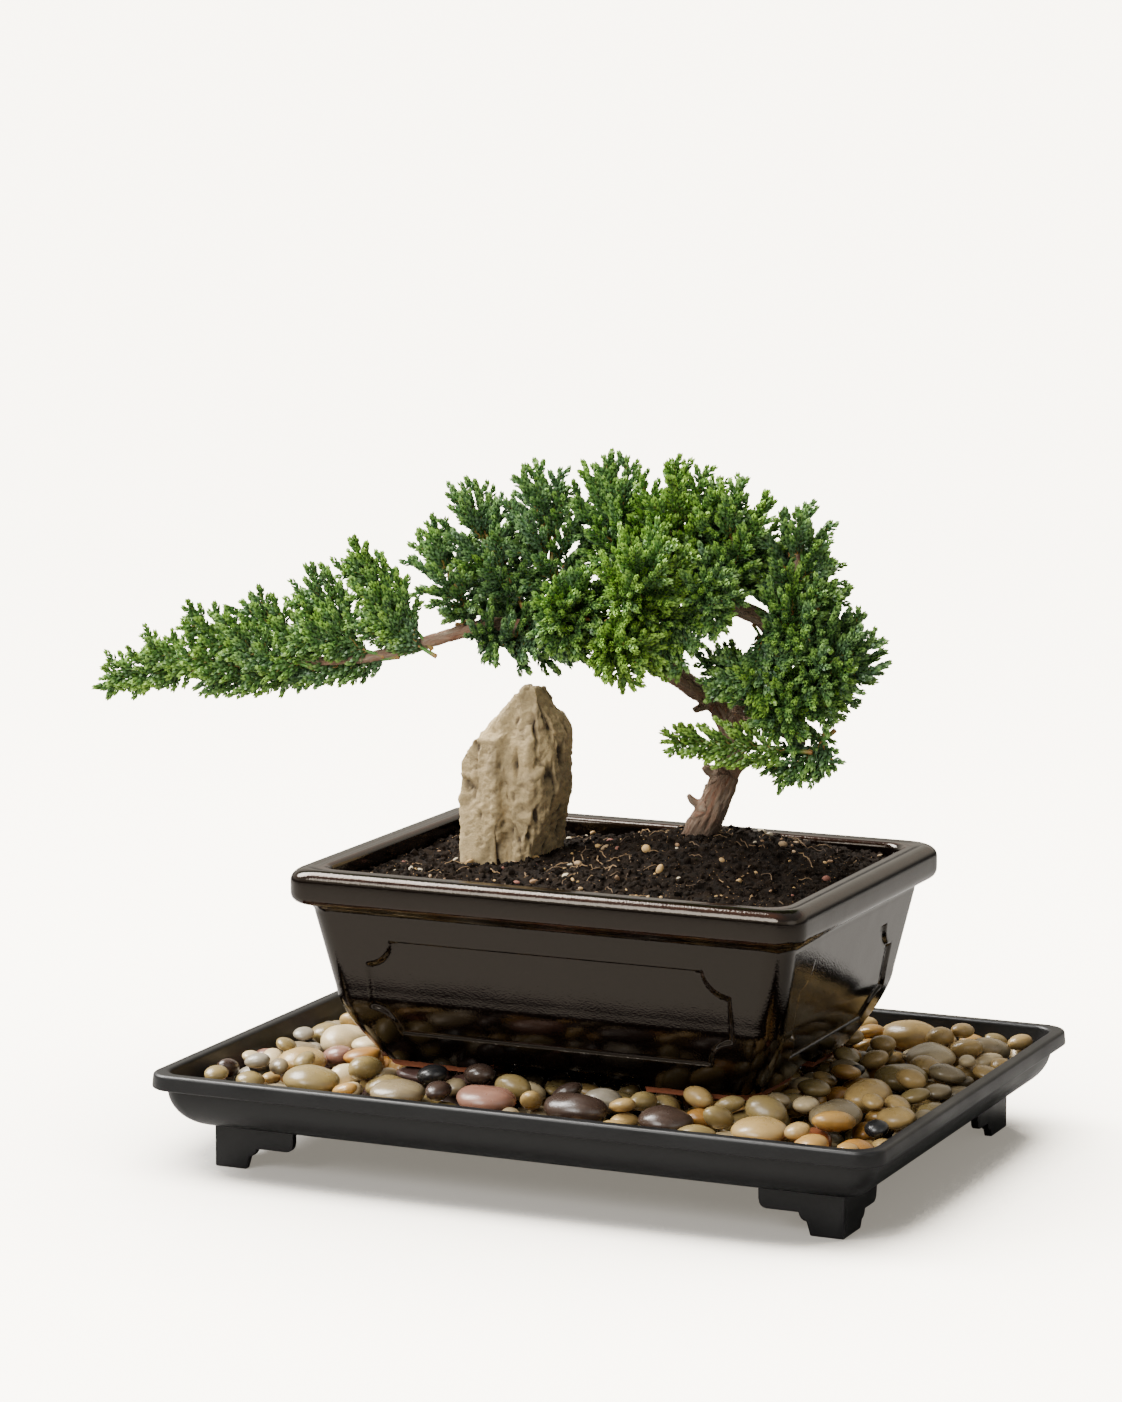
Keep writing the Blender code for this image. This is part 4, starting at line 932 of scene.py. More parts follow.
def pot_cutters():
    """Boxes for the space under the floor and the arches between the feet, and two drain holes."""
    foot_inset = LIP_OVERHANG + WALL_DRAFT + BELLY_INSET - 0.0012
    half_x = POT_HALF_X - foot_inset
    half_y = POT_HALF_Y - foot_inset
    tools = []
    for name, reach_x, reach_y in (
        ("recess", half_x - POT_FOOT_THICKNESS, half_y - POT_FOOT_THICKNESS),
        ("arch_x", half_x - POT_FOOT_LENGTH_X, half_y + 0.02),
        ("arch_y", half_x + 0.02, half_y - POT_FOOT_LENGTH_Y),
    ):
        low = (PLANTING_X - reach_x, -reach_y, POT_BASE - 0.02)
        high = (PLANTING_X + reach_x, reach_y, POT_BASE + POT_FOOT_HEIGHT)
        tools.append(new_object(name, box_mesh(name, low, high)))
    for side in (-1.0, 1.0):
        shape = bmesh.new()
        place = Matrix.Translation((PLANTING_X + side * DRAIN_HOLE_SPACING / 2.0, 0.0, POT_BASE + 0.006))
        bmesh.ops.create_cone(shape, cap_ends=True, segments=48, radius1=DRAIN_HOLE_RADIUS,
                              radius2=DRAIN_HOLE_RADIUS, depth=0.024, matrix=place)
        tools.append(new_object("drain_hole", keep_shape(shape, "drain_hole")))
    return tools


class JUNIPER_OT_pot(bpy.types.Operator):
    """Make the glazed pot with its rolled lip, sunk panels and clay feet"""

    bl_idname = "juniper.pot"
    bl_label = "Glazed Pot"

    def execute(self, context):
        stops = [self.wall_stops(PANEL_HALF_X, POT_HALF_X), self.wall_stops(PANEL_HALF_Y, POT_HALF_Y)]
        profile = pot_profile()
        rings = np.array([
            rounded_ring(POT_HALF_X - inset, POT_HALF_Y - inset, POT_CORNER_RADIUS, POT_BASE + height,
                         *stops, 10)
            for inset, height in profile
        ])
        for ring, (inset, height) in list(zip(rings, profile))[:len(profile) // 2]:
            if height >= WALL_TOP:
                continue
            x = ring[:, 0] - PLANTING_X
            y = ring[:, 1].copy()
            depth = panel_depth(np.abs(x), np.abs(y), height)
            on_front = np.abs(np.abs(y) - (POT_HALF_Y - inset)) < 1e-6
            on_side = np.abs(np.abs(x) - (POT_HALF_X - inset)) < 1e-6
            ring[:, 1] -= np.where(on_front, np.sign(y) * depth, 0.0)
            ring[:, 0] -= np.where(on_side & ~on_front, np.sign(x) * depth, 0.0)
        pot = new_object("pot_finish", skin_rings("pot_finish", rings))
        combine(pot, pot_cutters(), "DIFFERENCE")
        repaint(pot, pot_glaze(context.scene.juniper_colours))
        self.mark_edges(pot)
        smooth(pot.data, 42.0)
        finish_piece(pot, "glazed_pot", "pot")
        return {"FINISHED"}

    def wall_stops(self, half_panel, half_pot):
        """Where a wall's upright lines stand, close together at the panel's ends."""
        half_side = half_pot - 0.012 - POT_CORNER_RADIUS
        inner = (half_panel - PANEL_NOTCH - 0.004) / half_side
        outer = min((half_panel + 0.005) / half_side, 0.97)
        fine = 0.0007 / half_side
        upper = graded((0.0, inner, 4.0 * fine), (inner, outer, fine), (outer, 1.0, 2.0 * fine))
        return [-value for value in reversed(upper)][:-1] + upper

    def mark_edges(self, pot):
        """Where the glaze runs thin: the edges of the lip, each by its inset, height and widths."""
        x, y, z = vector_table(pot.data.vertices, "co").T
        height = z - POT_BASE
        inset = np.minimum(POT_HALF_X - np.abs(x - PLANTING_X), POT_HALF_Y - np.abs(y))
        edges = sum(
            np.exp(-((inset - edge_inset) / width) ** 2 - ((height - edge_height) / tall) ** 2)
            for edge_inset, width, edge_height, tall in (
                (0.0010, 0.0011, POT_HEIGHT - 0.0010, 0.0012),
                (LIP_WIDTH - 0.0008, 0.0009, POT_HEIGHT, 0.0016),
                (0.0004, 0.0009, LIP_UNDERSIDE + 0.0006, 0.0012),
            )
        )
        store_values(pot.data, "edge", np.clip(edges, 0.0, 1.0))


class JUNIPER_OT_drain_meshes(bpy.types.Operator):
    """Finish the plastic mesh over the drain holes"""

    bl_idname = "juniper.drain_meshes"
    bl_label = "Drain Meshes"

    def execute(self, context):
        plastic = drain_plastic()
        tree = mesh_grid_tree()
        for name in ("drain_mesh_1", "drain_mesh_2"):
            low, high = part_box(name)
            sheet = new_object(name + "_grid", mesh_from(name + "_grid", [(0.0, 0.0, 0.0)]))
            run_nodes(sheet, tree, {
                "Middle": tuple((low + high) / 2.0), "Side": high.x - low.x, "Strands": 11,
                "Thickness": (high.z - low.z) * 0.7, "Material": plastic,
            })
            smooth(sheet.data)
            finish_piece(sheet, "drain_mesh", name)
        return {"FINISHED"}


# Geometry node trees ---------------------------------------------------------------------------------

def run_nodes(thing, tree, values):
    """Run a geometry node tree on an object with these inputs and keep the plain mesh."""
    modifier = thing.modifiers.new(tree.name, "NODES")
    modifier.node_group = tree
    for item in tree.interface.items_tree:
        if item.item_type == "SOCKET" and item.in_out == "INPUT" and item.name in values:
            modifier[item.identifier] = values[item.name]
    return settle(thing)


def close_tree(nodes, geometry, result, material):
    """Most trees end the same way: real mesh, then its material."""
    painted = nodes.out("GeometryNodeSetMaterial", {"Geometry": nodes.real(geometry), "Material": material})
    nodes.feed(result["Geometry"], painted)
    return nodes.tree


def mesh_grid_tree():
    """Crossed strands of a square plastic mesh."""
    nodes, given, result = geometry_group(
        "Mesh Grid", ("Middle", "Vector"), ("Side", "Float", 0.026), ("Strands", "Int", 11),
        ("Thickness", "Float", 0.0008), ("Material", "Material"),
    )
    half = nodes.maths("MULTIPLY", given["Side"], 0.5)
    start = nodes.vector(nodes.maths("MULTIPLY", half, -1.0))
    size = nodes.vector(given["Thickness"], given["Side"], given["Thickness"])
    rows = []
    for turn, lift in ((0.0, -0.0001), (math.pi / 2.0, 0.0001)):
        ends = {"Count": given["Strands"], "Start Location": start, "Offset": nodes.vector(half)}
        line = nodes.out("GeometryNodeMeshLine", ends, mode="END_POINTS")
        strand = nodes.out("GeometryNodeMeshCube", {"Size": size})
        row = nodes.out("GeometryNodeInstanceOnPoints", {"Points": line, "Instance": strand})
        middle = nodes.vector_maths("ADD", given["Middle"], (0.0, 0.0, lift))
        rows.append(nodes.out("GeometryNodeTransform", {
            "Geometry": row, "Rotation": (0.0, 0.0, turn), "Translation": middle,
        }))
    return close_tree(nodes, nodes.join(*rows), result, given["Material"])


def make_pebbles(name):
    """A smooth uneven stone on each point, sized, turned and toned by the point's own values."""
    nodes, given, result = geometry_group(
        name, ("Fineness", "Int", 3), ("Unevenness", "Float", 0.16), ("Material", "Material"),
    )
    ball = nodes.out("GeometryNodeMeshIcoSphere", {"Radius": 0.5, "Subdivisions": given["Fineness"]})
    size = nodes.named("size", "FLOAT_VECTOR")
    points = nodes.out("GeometryNodeMeshToPoints", {"Mesh": given["Geometry"]})
    rotation = nodes.out("FunctionNodeEulerToRotation", {0: nodes.named("turn", "FLOAT_VECTOR")})
    stones = nodes.real(nodes.copies(points, ball, rotation, size))
    lumps = nodes.add("ShaderNodeTexNoise", {
        "Vector": nodes.out("GeometryNodeInputPosition"), "Scale": 75.0, "Detail": 1.0, "Roughness": 0.4,
        "W": nodes.maths("MULTIPLY", nodes.named("tone"), 91.0),
    }, noise_dimensions="4D").outputs["Fac"]
    length = nodes.add("ShaderNodeVectorMath", {0: size}, operation="LENGTH").outputs["Value"]
    inward = nodes.maths("MULTIPLY", nodes.maths("SUBTRACT", lumps, 0.62), given["Unevenness"])
    held = nodes.maths("MINIMUM", nodes.maths("MULTIPLY", inward, length), 0.0002)
    shift = nodes.scaled(nodes.out("GeometryNodeInputNormal"), held)
    return close_tree(nodes, nodes.shifted(stones, shift), result, given["Material"])


GROUP_MAKERS = {
    "Mottling": make_mottling,
    "Surface Grain": make_surface_grain,
    "Water Worn Pebbles": make_pebbles,
}


def crumb_tree():
    """Loose crumbs of earth scattered over the soil's own surface."""
    nodes, given, result = geometry_group(
        "Soil Crumbs", ("Density", "Float", 100000.0), ("Crumb Size", "Float", 0.0018), ("Seed", "Int", 5),
        ("Material", "Material"),
    )
    upward = nodes.maths("GREATER_THAN", nodes.upright(nodes.out("GeometryNodeInputNormal")), 0.35)
    scatter = nodes.add("GeometryNodeDistributePointsOnFaces", {
        "Mesh": given["Geometry"], "Selection": upward, "Density": given["Density"], "Seed": given["Seed"],
    }, distribute_method="RANDOM").outputs["Points"]
    crumb = nodes.out("GeometryNodeMeshIcoSphere", {"Radius": 0.5, "Subdivisions": 1})
    turn = nodes.out("FunctionNodeRandomValue", {0: (0.0, 0.0, 0.0), 1: (6.28, 6.28, 6.28), "Seed": 11},
                     data_type="FLOAT_VECTOR")
    rotation = nodes.out("FunctionNodeEulerToRotation", {0: turn})
    skewed = nodes.maths("POWER", nodes.chance(0.0, 1.0, 23), 3.0)
    width = nodes.maths("MULTIPLY", given["Crumb Size"], nodes.maths("MULTIPLY_ADD", skewed, 1.5, 0.45))
    narrow = nodes.maths("MULTIPLY", width, nodes.chance(0.55, 1.0, 31))
    crumbs = nodes.real(nodes.copies(scatter, crumb, rotation, nodes.vector(width, narrow, width)))
    place = nodes.out("GeometryNodeInputPosition")
    rough = nodes.add("ShaderNodeTexNoise", {"Vector": place, "Scale": 900.0, "Detail": 1.0}).outputs["Color"]
    centred = nodes.vector_maths("SUBTRACT", rough, (0.5, 0.5, 0.5))
    return close_tree(nodes, nodes.shifted(crumbs, nodes.scaled(centred, 0.0024)), result, given["Material"])


def shoot_tree():
    """Whorls of scale leaves and a thin stem along every shoot of a spray."""
    nodes, given, result = geometry_group(
        "Juniper Shoots", ("Leaf", "Object"), ("Whorl Spacing", "Float", 0.001),
        ("Leaf Length", "Float", 0.003), ("Leaf Width", "Float", 0.0008), ("Base Lean", "Float", 0.8),
        ("Tip Lean", "Float", 0.2), ("Stem Radius", "Float", 0.00045), ("Seed", "Int", 1),
        ("Leaf Material", "Material"), ("Stem Material", "Material"),
    )
    curves = nodes.out("GeometryNodeMeshToCurve", {"Mesh": given["Geometry"]})
    spline = nodes.add("GeometryNodeSplineParameter").outputs
    marked = nodes.store(curves, "along", spline["Factor"])
    radius = nodes.maths("MULTIPLY", given["Stem Radius"], nodes.named("girth"))
    thick = nodes.out("GeometryNodeSetCurveRadius", {"Curve": marked, "Radius": radius})
    ring = nodes.out("GeometryNodeCurvePrimitiveCircle", {"Resolution": 4, "Radius": 1.0})
    tube = nodes.out("GeometryNodeCurveToMesh", {
        "Curve": thick, "Profile Curve": ring, "Scale": radius, "Fill Caps": True,
    })
    stems = nodes.store(tube, "stem", 1.0)
    bare = nodes.maths("LESS_THAN", nodes.named("leafy"), 0.5)
    clothed = nodes.out("GeometryNodeDeleteGeometry", {"Geometry": marked, "Selection": bare}, domain="CURVE")
    spaced = nodes.out("GeometryNodeResampleCurve", {"Curve": clothed, "Length": given["Whorl Spacing"]},
                       mode="LENGTH")
    numbered = nodes.store(spaced, "whorl", spline["Index"])
    points = nodes.add("GeometryNodeCurveToPoints", {"Curve": numbered}, mode="EVALUATED").outputs
    threes = nodes.add("GeometryNodeDuplicateElements", {"Geometry": points["Points"], "Amount": 3},
                       domain="POINT").outputs
    along = nodes.named("along")
    other = nodes.chance(-1.0, 1.0, 77)
    turn = nodes.maths("MULTIPLY_ADD", threes["Duplicate Index"], math.radians(120.0),
                       nodes.maths("MULTIPLY", nodes.named("whorl"), math.radians(60.0)))
    turn = nodes.maths("ADD", turn, nodes.maths("MULTIPLY", nodes.chance(-1.0, 1.0, given["Seed"]), 0.16))
    lean = nodes.span(along, 0.0, 1.0, given["Base Lean"], given["Tip Lean"])
    lean = nodes.maths("ADD", lean, nodes.maths("MULTIPLY", other, 0.09))
    rotation = points["Rotation"]
    for axis, angle in (((0.0, 0.0, 1.0), turn), ((1.0, 0.0, 0.0), lean)):
        step = nodes.out("FunctionNodeAxisAngleToRotation", {"Axis": axis, "Angle": angle})
        rotation = nodes.out("FunctionNodeRotateRotation", {0: rotation, 1: step}, rotation_space="LOCAL")
    vigour = nodes.maths("MULTIPLY_ADD", other, 0.12, 1.0)
    taper = nodes.maths("MULTIPLY", vigour, nodes.span(along, 0.55, 1.0, 1.0, 0.80))
    length = nodes.maths("MULTIPLY", given["Leaf Length"], taper)
    size = nodes.vector(given["Leaf Width"], given["Leaf Width"], length)
    leaf = nodes.add("GeometryNodeObjectInfo", {"Object": given["Leaf"]}).outputs["Geometry"]
    leaves = nodes.copies(threes["Geometry"], leaf, rotation, size)
    green = nodes.out("GeometryNodeSetMaterial", {
        "Geometry": nodes.real(nodes.join(stems, leaves)), "Material": given["Leaf Material"],
    })
    is_stem = nodes.maths("GREATER_THAN", nodes.named("stem"), 0.5)
    painted = nodes.out("GeometryNodeSetMaterial", {
        "Geometry": green, "Selection": is_stem, "Material": given["Stem Material"],
    })
    nodes.feed(result["Geometry"], painted)
    return nodes.tree


# Pebbles ---------------------------------------------------------------------------------------------

def pebble_points(name, stones):
    """A point for each stone: (middle, size, turn, tone)."""
    mesh = mesh_from(name, [tuple(stone[0]) for stone in stones])
    store_values(mesh, "size", [stone[1] for stone in stones], "FLOAT_VECTOR")
    store_values(mesh, "turn", [stone[2] for stone in stones], "FLOAT_VECTOR")
    store_values(mesh, "tone", [stone[3] for stone in stones])
    return new_object(name, mesh)


class PebblePacker:
    """Drops flat ovals into the tray one by one, each onto what lies below it."""

    CELL = 0.001

    def __init__(self, ceiling_stones):
        self.x = PLANTING_X - TRAY_HALF_X + self.steps(TRAY_HALF_X)
        self.y = -TRAY_HALF_Y + self.steps(TRAY_HALF_Y)
        grid_x, grid_y = self.insets(TRAY_HALF_X, TRAY_HALF_Y)
        soft = TRAY_CORNER_RADIUS + 0.004
        in_corner = (grid_x < soft) & (grid_y < soft)
        rounded = soft - np.hypot(soft - grid_x, soft - grid_y)
        inset = np.where(in_corner, rounded, np.minimum(grid_x, grid_y))
        levels = np.linspace(TRAY_FLOOR_TOP, TRAY_HEIGHT, 60)
        insets = np.array([tray_inner_inset(z) for z in levels])
        self.ground = np.interp(inset, insets[::-1], levels[::-1], left=1.0, right=TRAY_FLOOR_TOP)
        pot_grid = np.minimum(*self.insets(POT_HALF_X, POT_HALF_Y))
        heights = np.linspace(0.0, WALL_TOP, 80)
        walls = np.array([pot_wall_inset(height) for height in heights])
        roof = np.interp(pot_grid, walls[::-1], heights[::-1], left=1.0, right=0.0)
        self.ceiling = np.where(pot_grid > walls[-1], POT_BASE + roof - 0.0004, 1.0)
        for middle, size, turn, _ in ceiling_stones:
            window, low, _ = self.footprint(middle, size, turn)
            if window:
                part = self.ceiling[window]
                self.ceiling[window] = np.where(np.isnan(low), part, np.minimum(part, middle[2] + low))

    def steps(self, half):
        return (np.arange(int(2.0 * half / self.CELL)) + 0.5) * self.CELL

    def insets(self, half_x, half_y):
        """How far each cell lies inside the two pairs of sides of a box round the pot's middle."""
        return np.meshgrid(half_x - np.abs(self.x - PLANTING_X), half_y - np.abs(self.y), indexing="ij")

    def cells(self, line, middle, reach):
        """The first cell on a line that a stone reaches, and the cell after its last."""
        first = max(0, int((middle - reach - line[0]) / self.CELL))
        return first, min(len(line), int((middle + reach - line[0]) / self.CELL) + 2)

    def footprint(self, middle, size, turn):
        """The grid window under a stone, with its lower and upper surface heights from its middle."""
        reach = max(size) / 2.0
        first_x, last_x = self.cells(self.x, middle[0], reach)
        first_y, last_y = self.cells(self.y, middle[1], reach)
        if first_x >= last_x or first_y >= last_y:
            return None, None, None
        turned = np.array(turn_matrix(turn))
        form = turned @ np.diag([4.0 / part ** 2 for part in size]) @ turned.T
        x, y = np.meshgrid(self.x[first_x:last_x] - middle[0], self.y[first_y:last_y] - middle[1],
                           indexing="ij")
        slope = form[0, 2] * x + form[1, 2] * y
        rest = form[0, 0] * x * x + 2.0 * form[0, 1] * x * y + form[1, 1] * y * y - 1.0
        root = slope * slope - form[2, 2] * rest
        spread = np.sqrt(np.where(root >= 0.0, root, np.nan))
        low = (-slope - spread) / form[2, 2]
        high = (-slope + spread) / form[2, 2]
        return (slice(first_x, last_x), slice(first_y, last_y)), low, high

    def try_place(self, x, y, size, turn, top_limit):
        window, low, high = self.footprint((x, y, 0.0), size, turn)
        if window is None or np.isnan(low).all():
            return None
        rest = np.nanmax(self.ground[window] - low)
        top = rest + np.nanmax(high)
        if top > top_limit or np.nanmin(self.ceiling[window] - rest - high) < 0.0:
            return None
        return rest, window, high

    def keep(self, rest, window, high):
        part = self.ground[window]
        self.ground[window] = np.where(np.isnan(high), part, np.maximum(part, rest + high))


def turn_matrix(turn):
    return (Matrix.Rotation(turn[2], 3, "Z") @ Matrix.Rotation(turn[1], 3, "Y")
            @ Matrix.Rotation(turn[0], 3, "X"))


def pebble_tone_and_painted_light(dice, x, y):
    """Sandy and cream pebbles on the right of the tray, greyer and darker ones on the left and in front:
    partly the stones' own colours, and partly painted light, lighter on the right in the pot's shade and
    darker on the brightly lit left.
    """
    tone = dice.random()
    # Painted light as well as tone: the right side is kept lighter to make up for the pot's shade on it.
    if x > PLANTING_X + 0.055:
        return 0.70 * tone if dice.random() < 0.85 else tone
    if dice.random() < 0.40:
        return 0.42 + 0.57 * tone
    return tone


def tray_top_limit(x, y):
    """How high the loose stones may lie: under the rim by the wall, and heaped up to the pot."""
    inset = min(TRAY_HALF_X - abs(x - PLANTING_X), TRAY_HALF_Y - abs(y))
    return TRAY_HEIGHT - 0.0015 + 0.006 * min(1.0, max(0.0, (inset - 0.012) / 0.018))


class JUNIPER_OT_pebbles(bpy.types.Operator):
    """Make the large pebbles and pack the small ones round them"""

    bl_idname = "juniper.pebbles"
    bl_label = "River Pebbles"

    def execute(self, context):
        sizes = context.scene.juniper_sizes
        material = river_pebble()
        tree = shared_group("Water Worn Pebbles")
        dice = random.Random(41)
        names = sorted(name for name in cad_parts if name.startswith("pebble_") and name != "pebble_bed")
        large = []
        for name in names:
            low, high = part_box(name)
            span = high - low
            size = (max(span.x, span.y) * 0.93, min(span.x, span.y) * 0.93, span.z)
            turn = (0.0, 0.0, 0.0 if span.x > span.y else math.pi / 2.0)
            middle = (low + high) / 2.0
            stone = (tuple(middle), size, turn, pebble_tone_and_painted_light(dice, middle.x, middle.y))
            large.append(stone)
            pebble = pebble_points(name + "_finish", [stone])
            run_nodes(pebble, tree, {"Fineness": 5, "Unevenness": 0.10, "Material": material})
            smooth(pebble.data, 180.0)
            finish_piece(pebble, "river_pebble", name)
        small = self.pack_small(sizes, dice, large)
        for name, seen, fineness in (("pebble_bed_top", True, 3), ("pebble_bed_lower", False, 2)):
            bed = pebble_points(name, [stone for stone in small if stone[4] == seen])
            run_nodes(bed, tree, {"Fineness": fineness, "Unevenness": 0.13, "Material": material})
            smooth(bed.data, 180.0)
            finish_piece(bed, "river_pebble", "pebble_bed")
        return {"FINISHED"}

    def pack_small(self, sizes, dice, large):
        packer = PebblePacker(large)
        small = []
        misses = 0
        while len(small) < sizes.pebble_count and misses < 260:
            scale = dice.uniform(0.68, 1.28)
            length = sizes.pebble_length * scale
            size = (length, length * dice.uniform(0.68, 0.92), length * dice.uniform(0.46, 0.66))
            best = None
            for _ in range(14):
                x = PLANTING_X + dice.uniform(-1.0, 1.0) * (TRAY_HALF_X - 0.008)
                y = dice.uniform(-1.0, 1.0) * (TRAY_HALF_Y - 0.008)
                turn = (dice.gauss(0.0, 0.20), dice.gauss(0.0, 0.20), dice.uniform(0.0, math.pi))
                found = packer.try_place(x, y, size, turn, tray_top_limit(x, y))
                if found and (best is None or found[0] < best[0][0]):
                    best = (found, x, y, turn)
            if best is None:
                misses += 1
                continue
            (rest, window, high), x, y, turn = best
            packer.keep(rest, window, high)
            under_pot = abs(x - PLANTING_X) < POT_HALF_X - 0.030 and abs(y) < POT_HALF_Y - 0.030
            seen = rest > TRAY_FLOOR_TOP + 0.0065 and not under_pot
            small.append(((x, y, rest), size, turn, pebble_tone_and_painted_light(dice, x, y), seen))
        return small


# Soil ------------------------------------------------------------------------------------------------

def soil_height(x, y):
    """World height of the soil at a place given from the pot's centre."""
    away = math.hypot(x - TRUNK_X, y - TRUNK_Y) / SOIL_MOUND_SPREAD
    ripple = 0.0007 * math.sin(95.0 * x + 1.0) * math.sin(120.0 * y)
    return POT_BASE + SOIL_LEVEL + SOIL_MOUND_HEIGHT * math.exp(-away * away) + ripple


def rough_soil_height(x, y):
    lumps = noise.fractal(Vector((x, y, 0.3)) * 150.0, 0.8, 2.1, 4)
    clods = noise.fractal(Vector((x, y, 1.7)) * 480.0, 0.7, 2.2, 3)
    return soil_height(x, y) + 0.0016 * lumps + 0.0009 * clods


class JUNIPER_OT_soil(bpy.types.Operator):
    """Make the potting soil with its crumbs, grit and root threads"""

    bl_idname = "juniper.soil"
    bl_label = "Potting Soil"

    def execute(self, context):
        sizes = context.scene.juniper_sizes
        earth = dark_earth(context.scene.juniper_colours)
        half_x = POT_HALF_X - LIP_WIDTH - 0.0012
        half_y = POT_HALF_Y - LIP_WIDTH - 0.0012
        soil = new_object("soil_surface", self.surface(half_x, half_y), earth)
        crumbs = new_object("soil_crumbs", soil.data.copy())
        run_nodes(crumbs, crumb_tree(), {"Density": sizes.crumb_density, "Crumb Size": 0.0019,
                                         "Seed": 5, "Material": earth})
        smooth(soil.data, 180.0)
        smooth(crumbs.data, 60.0)
        finish_piece(soil, "soil", "soil")
        finish_piece(crumbs, "soil")
        self.scatter_grit(sizes, half_x, half_y)
        self.lay_threads(half_x, half_y)
        return {"FINISHED"}

    def surface(self, half_x, half_y):
        """The rough top inside the lip, and the rings that close it down to the pot's floor."""
        step = 0.0011
        count_x = int(2.0 * half_x / step)
        count_y = int(2.0 * half_y / step)
        vertices = []
        for row in range(count_y + 1):
            y = half_y * (2.0 * row / count_y - 1.0)
            for column in range(count_x + 1):
                x = half_x * (2.0 * column / count_x - 1.0)
                reach = self.corner_squeeze(x, y, half_x, half_y)
                x_in, y_in = x * reach, y * reach
                vertices.append((PLANTING_X + x_in, y_in, rough_soil_height(x_in, y_in)))
        width = count_x + 1
        faces = [
            (row * width + column, row * width + column + 1, (row + 1) * width + column + 1,
             (row + 1) * width + column)
            for row in range(count_y) for column in range(count_x)
        ]
        border = list(range(width))
        border += [row * width + count_x for row in range(1, count_y + 1)]
        border += [count_y * width + column for column in range(count_x - 1, -1, -1)]
        border += [row * width for row in range(count_y - 1, 0, -1)]
        previous = border
        for inset, height in ((0.0055, 0.040), (0.012, 0.022), (0.0165, 0.0124)):
            ring = []
            for index in border:
                x, y, _ = vertices[index]
                share_x = (half_x - inset) / half_x
                share_y = (half_y - inset) / half_y
                ring.append(len(vertices))
                vertices.append((PLANTING_X + (x - PLANTING_X) * share_x, y * share_y, POT_BASE + height))
            for index in range(len(border)):
                following = (index + 1) % len(border)
                faces.append((ring[index], ring[following], previous[following], previous[index]))
            previous = ring
        faces.append(tuple(reversed(previous)))
        return mesh_from("soil_surface", vertices, faces)

    def corner_squeeze(self, x, y, half_x, half_y):
        """Pull the square grid's corners in to the pot's rounded ones."""
        radius = POT_CORNER_RADIUS - 0.002
        over_x = abs(x) - (half_x - radius)
        over_y = abs(y) - (half_y - radius)
        if over_x <= 0.0 or over_y <= 0.0:
            return 1.0
        away = math.hypot(over_x, over_y)
        return 1.0 if away <= radius else 1.0 - 0.5 * (away - radius) / math.hypot(x, y)

    def scatter_grit(self, sizes, half_x, half_y):
        dice = random.Random(19)
        stones = []
        for _ in range(sizes.grit_count):
            x = dice.uniform(-1.0, 1.0) * (half_x - 0.003)
            y = dice.uniform(-1.0, 1.0) * (half_y - 0.003)
            length = 0.0016 + 0.0034 * dice.random() ** 2.2
            size = (length, length * dice.uniform(0.5, 0.9), length * dice.uniform(0.4, 0.7))
            turn = (dice.gauss(0.0, 0.4), dice.gauss(0.0, 0.4), dice.uniform(0.0, math.pi))
            rest = rough_soil_height(x, y) + size[2] * 0.28
            stones.append(((PLANTING_X + x, y, rest), size, turn, dice.random()))
        grit = pebble_points("soil_grit", stones)
        run_nodes(grit, shared_group("Water Worn Pebbles"),
                  {"Fineness": 2, "Unevenness": 0.35, "Material": grit_material()})
        smooth(grit.data, 50.0)
        finish_piece(grit, "soil")

    def lay_threads(self, half_x, half_y):
        """Fine root threads and bark fibres that lie on the soil."""
        dice = random.Random(67)
        threads = bpy.data.curves.new("root_threads", "CURVE")
        threads.dimensions = "3D"
        threads.bevel_depth = 0.00022
        threads.bevel_resolution = 1
        threads.use_fill_caps = True
        for _ in range(110):
            x = dice.uniform(-1.0, 1.0) * (half_x - 0.008)
            y = dice.uniform(-1.0, 1.0) * (half_y - 0.008)
            heading = dice.uniform(0.0, 2.0 * math.pi)
            steps = dice.randint(4, 9)
            spline = threads.splines.new("POLY")
            spline.points.add(steps)
            for index in range(steps + 1):
                height = rough_soil_height(x, y) + 0.0004 + 0.0008 * math.sin(math.pi * index / steps)
                spline.points[index].co = (PLANTING_X + x, y, height, 1.0)
                spline.points[index].radius = 1.0 - 0.5 * index / steps
                heading += dice.gauss(0.0, 0.45)
                x = min(half_x - 0.002, max(0.002 - half_x, x + 0.0013 * math.cos(heading)))
                y = min(half_y - 0.002, max(0.002 - half_y, y + 0.0013 * math.sin(heading)))
        guide = new_object("root_threads_guide", threads)
        mesh = evaluated_copy(guide)
        bpy.data.objects.remove(guide, do_unlink=True)
        piece = new_object("root_threads", mesh)
        repaint(piece, root_thread())
        store_values(mesh, "tone", np.zeros(len(mesh.vertices)))
        mesh.shade_smooth()
        finish_piece(piece, "soil")


# Stone -----------------------------------------------------------------------------------------------

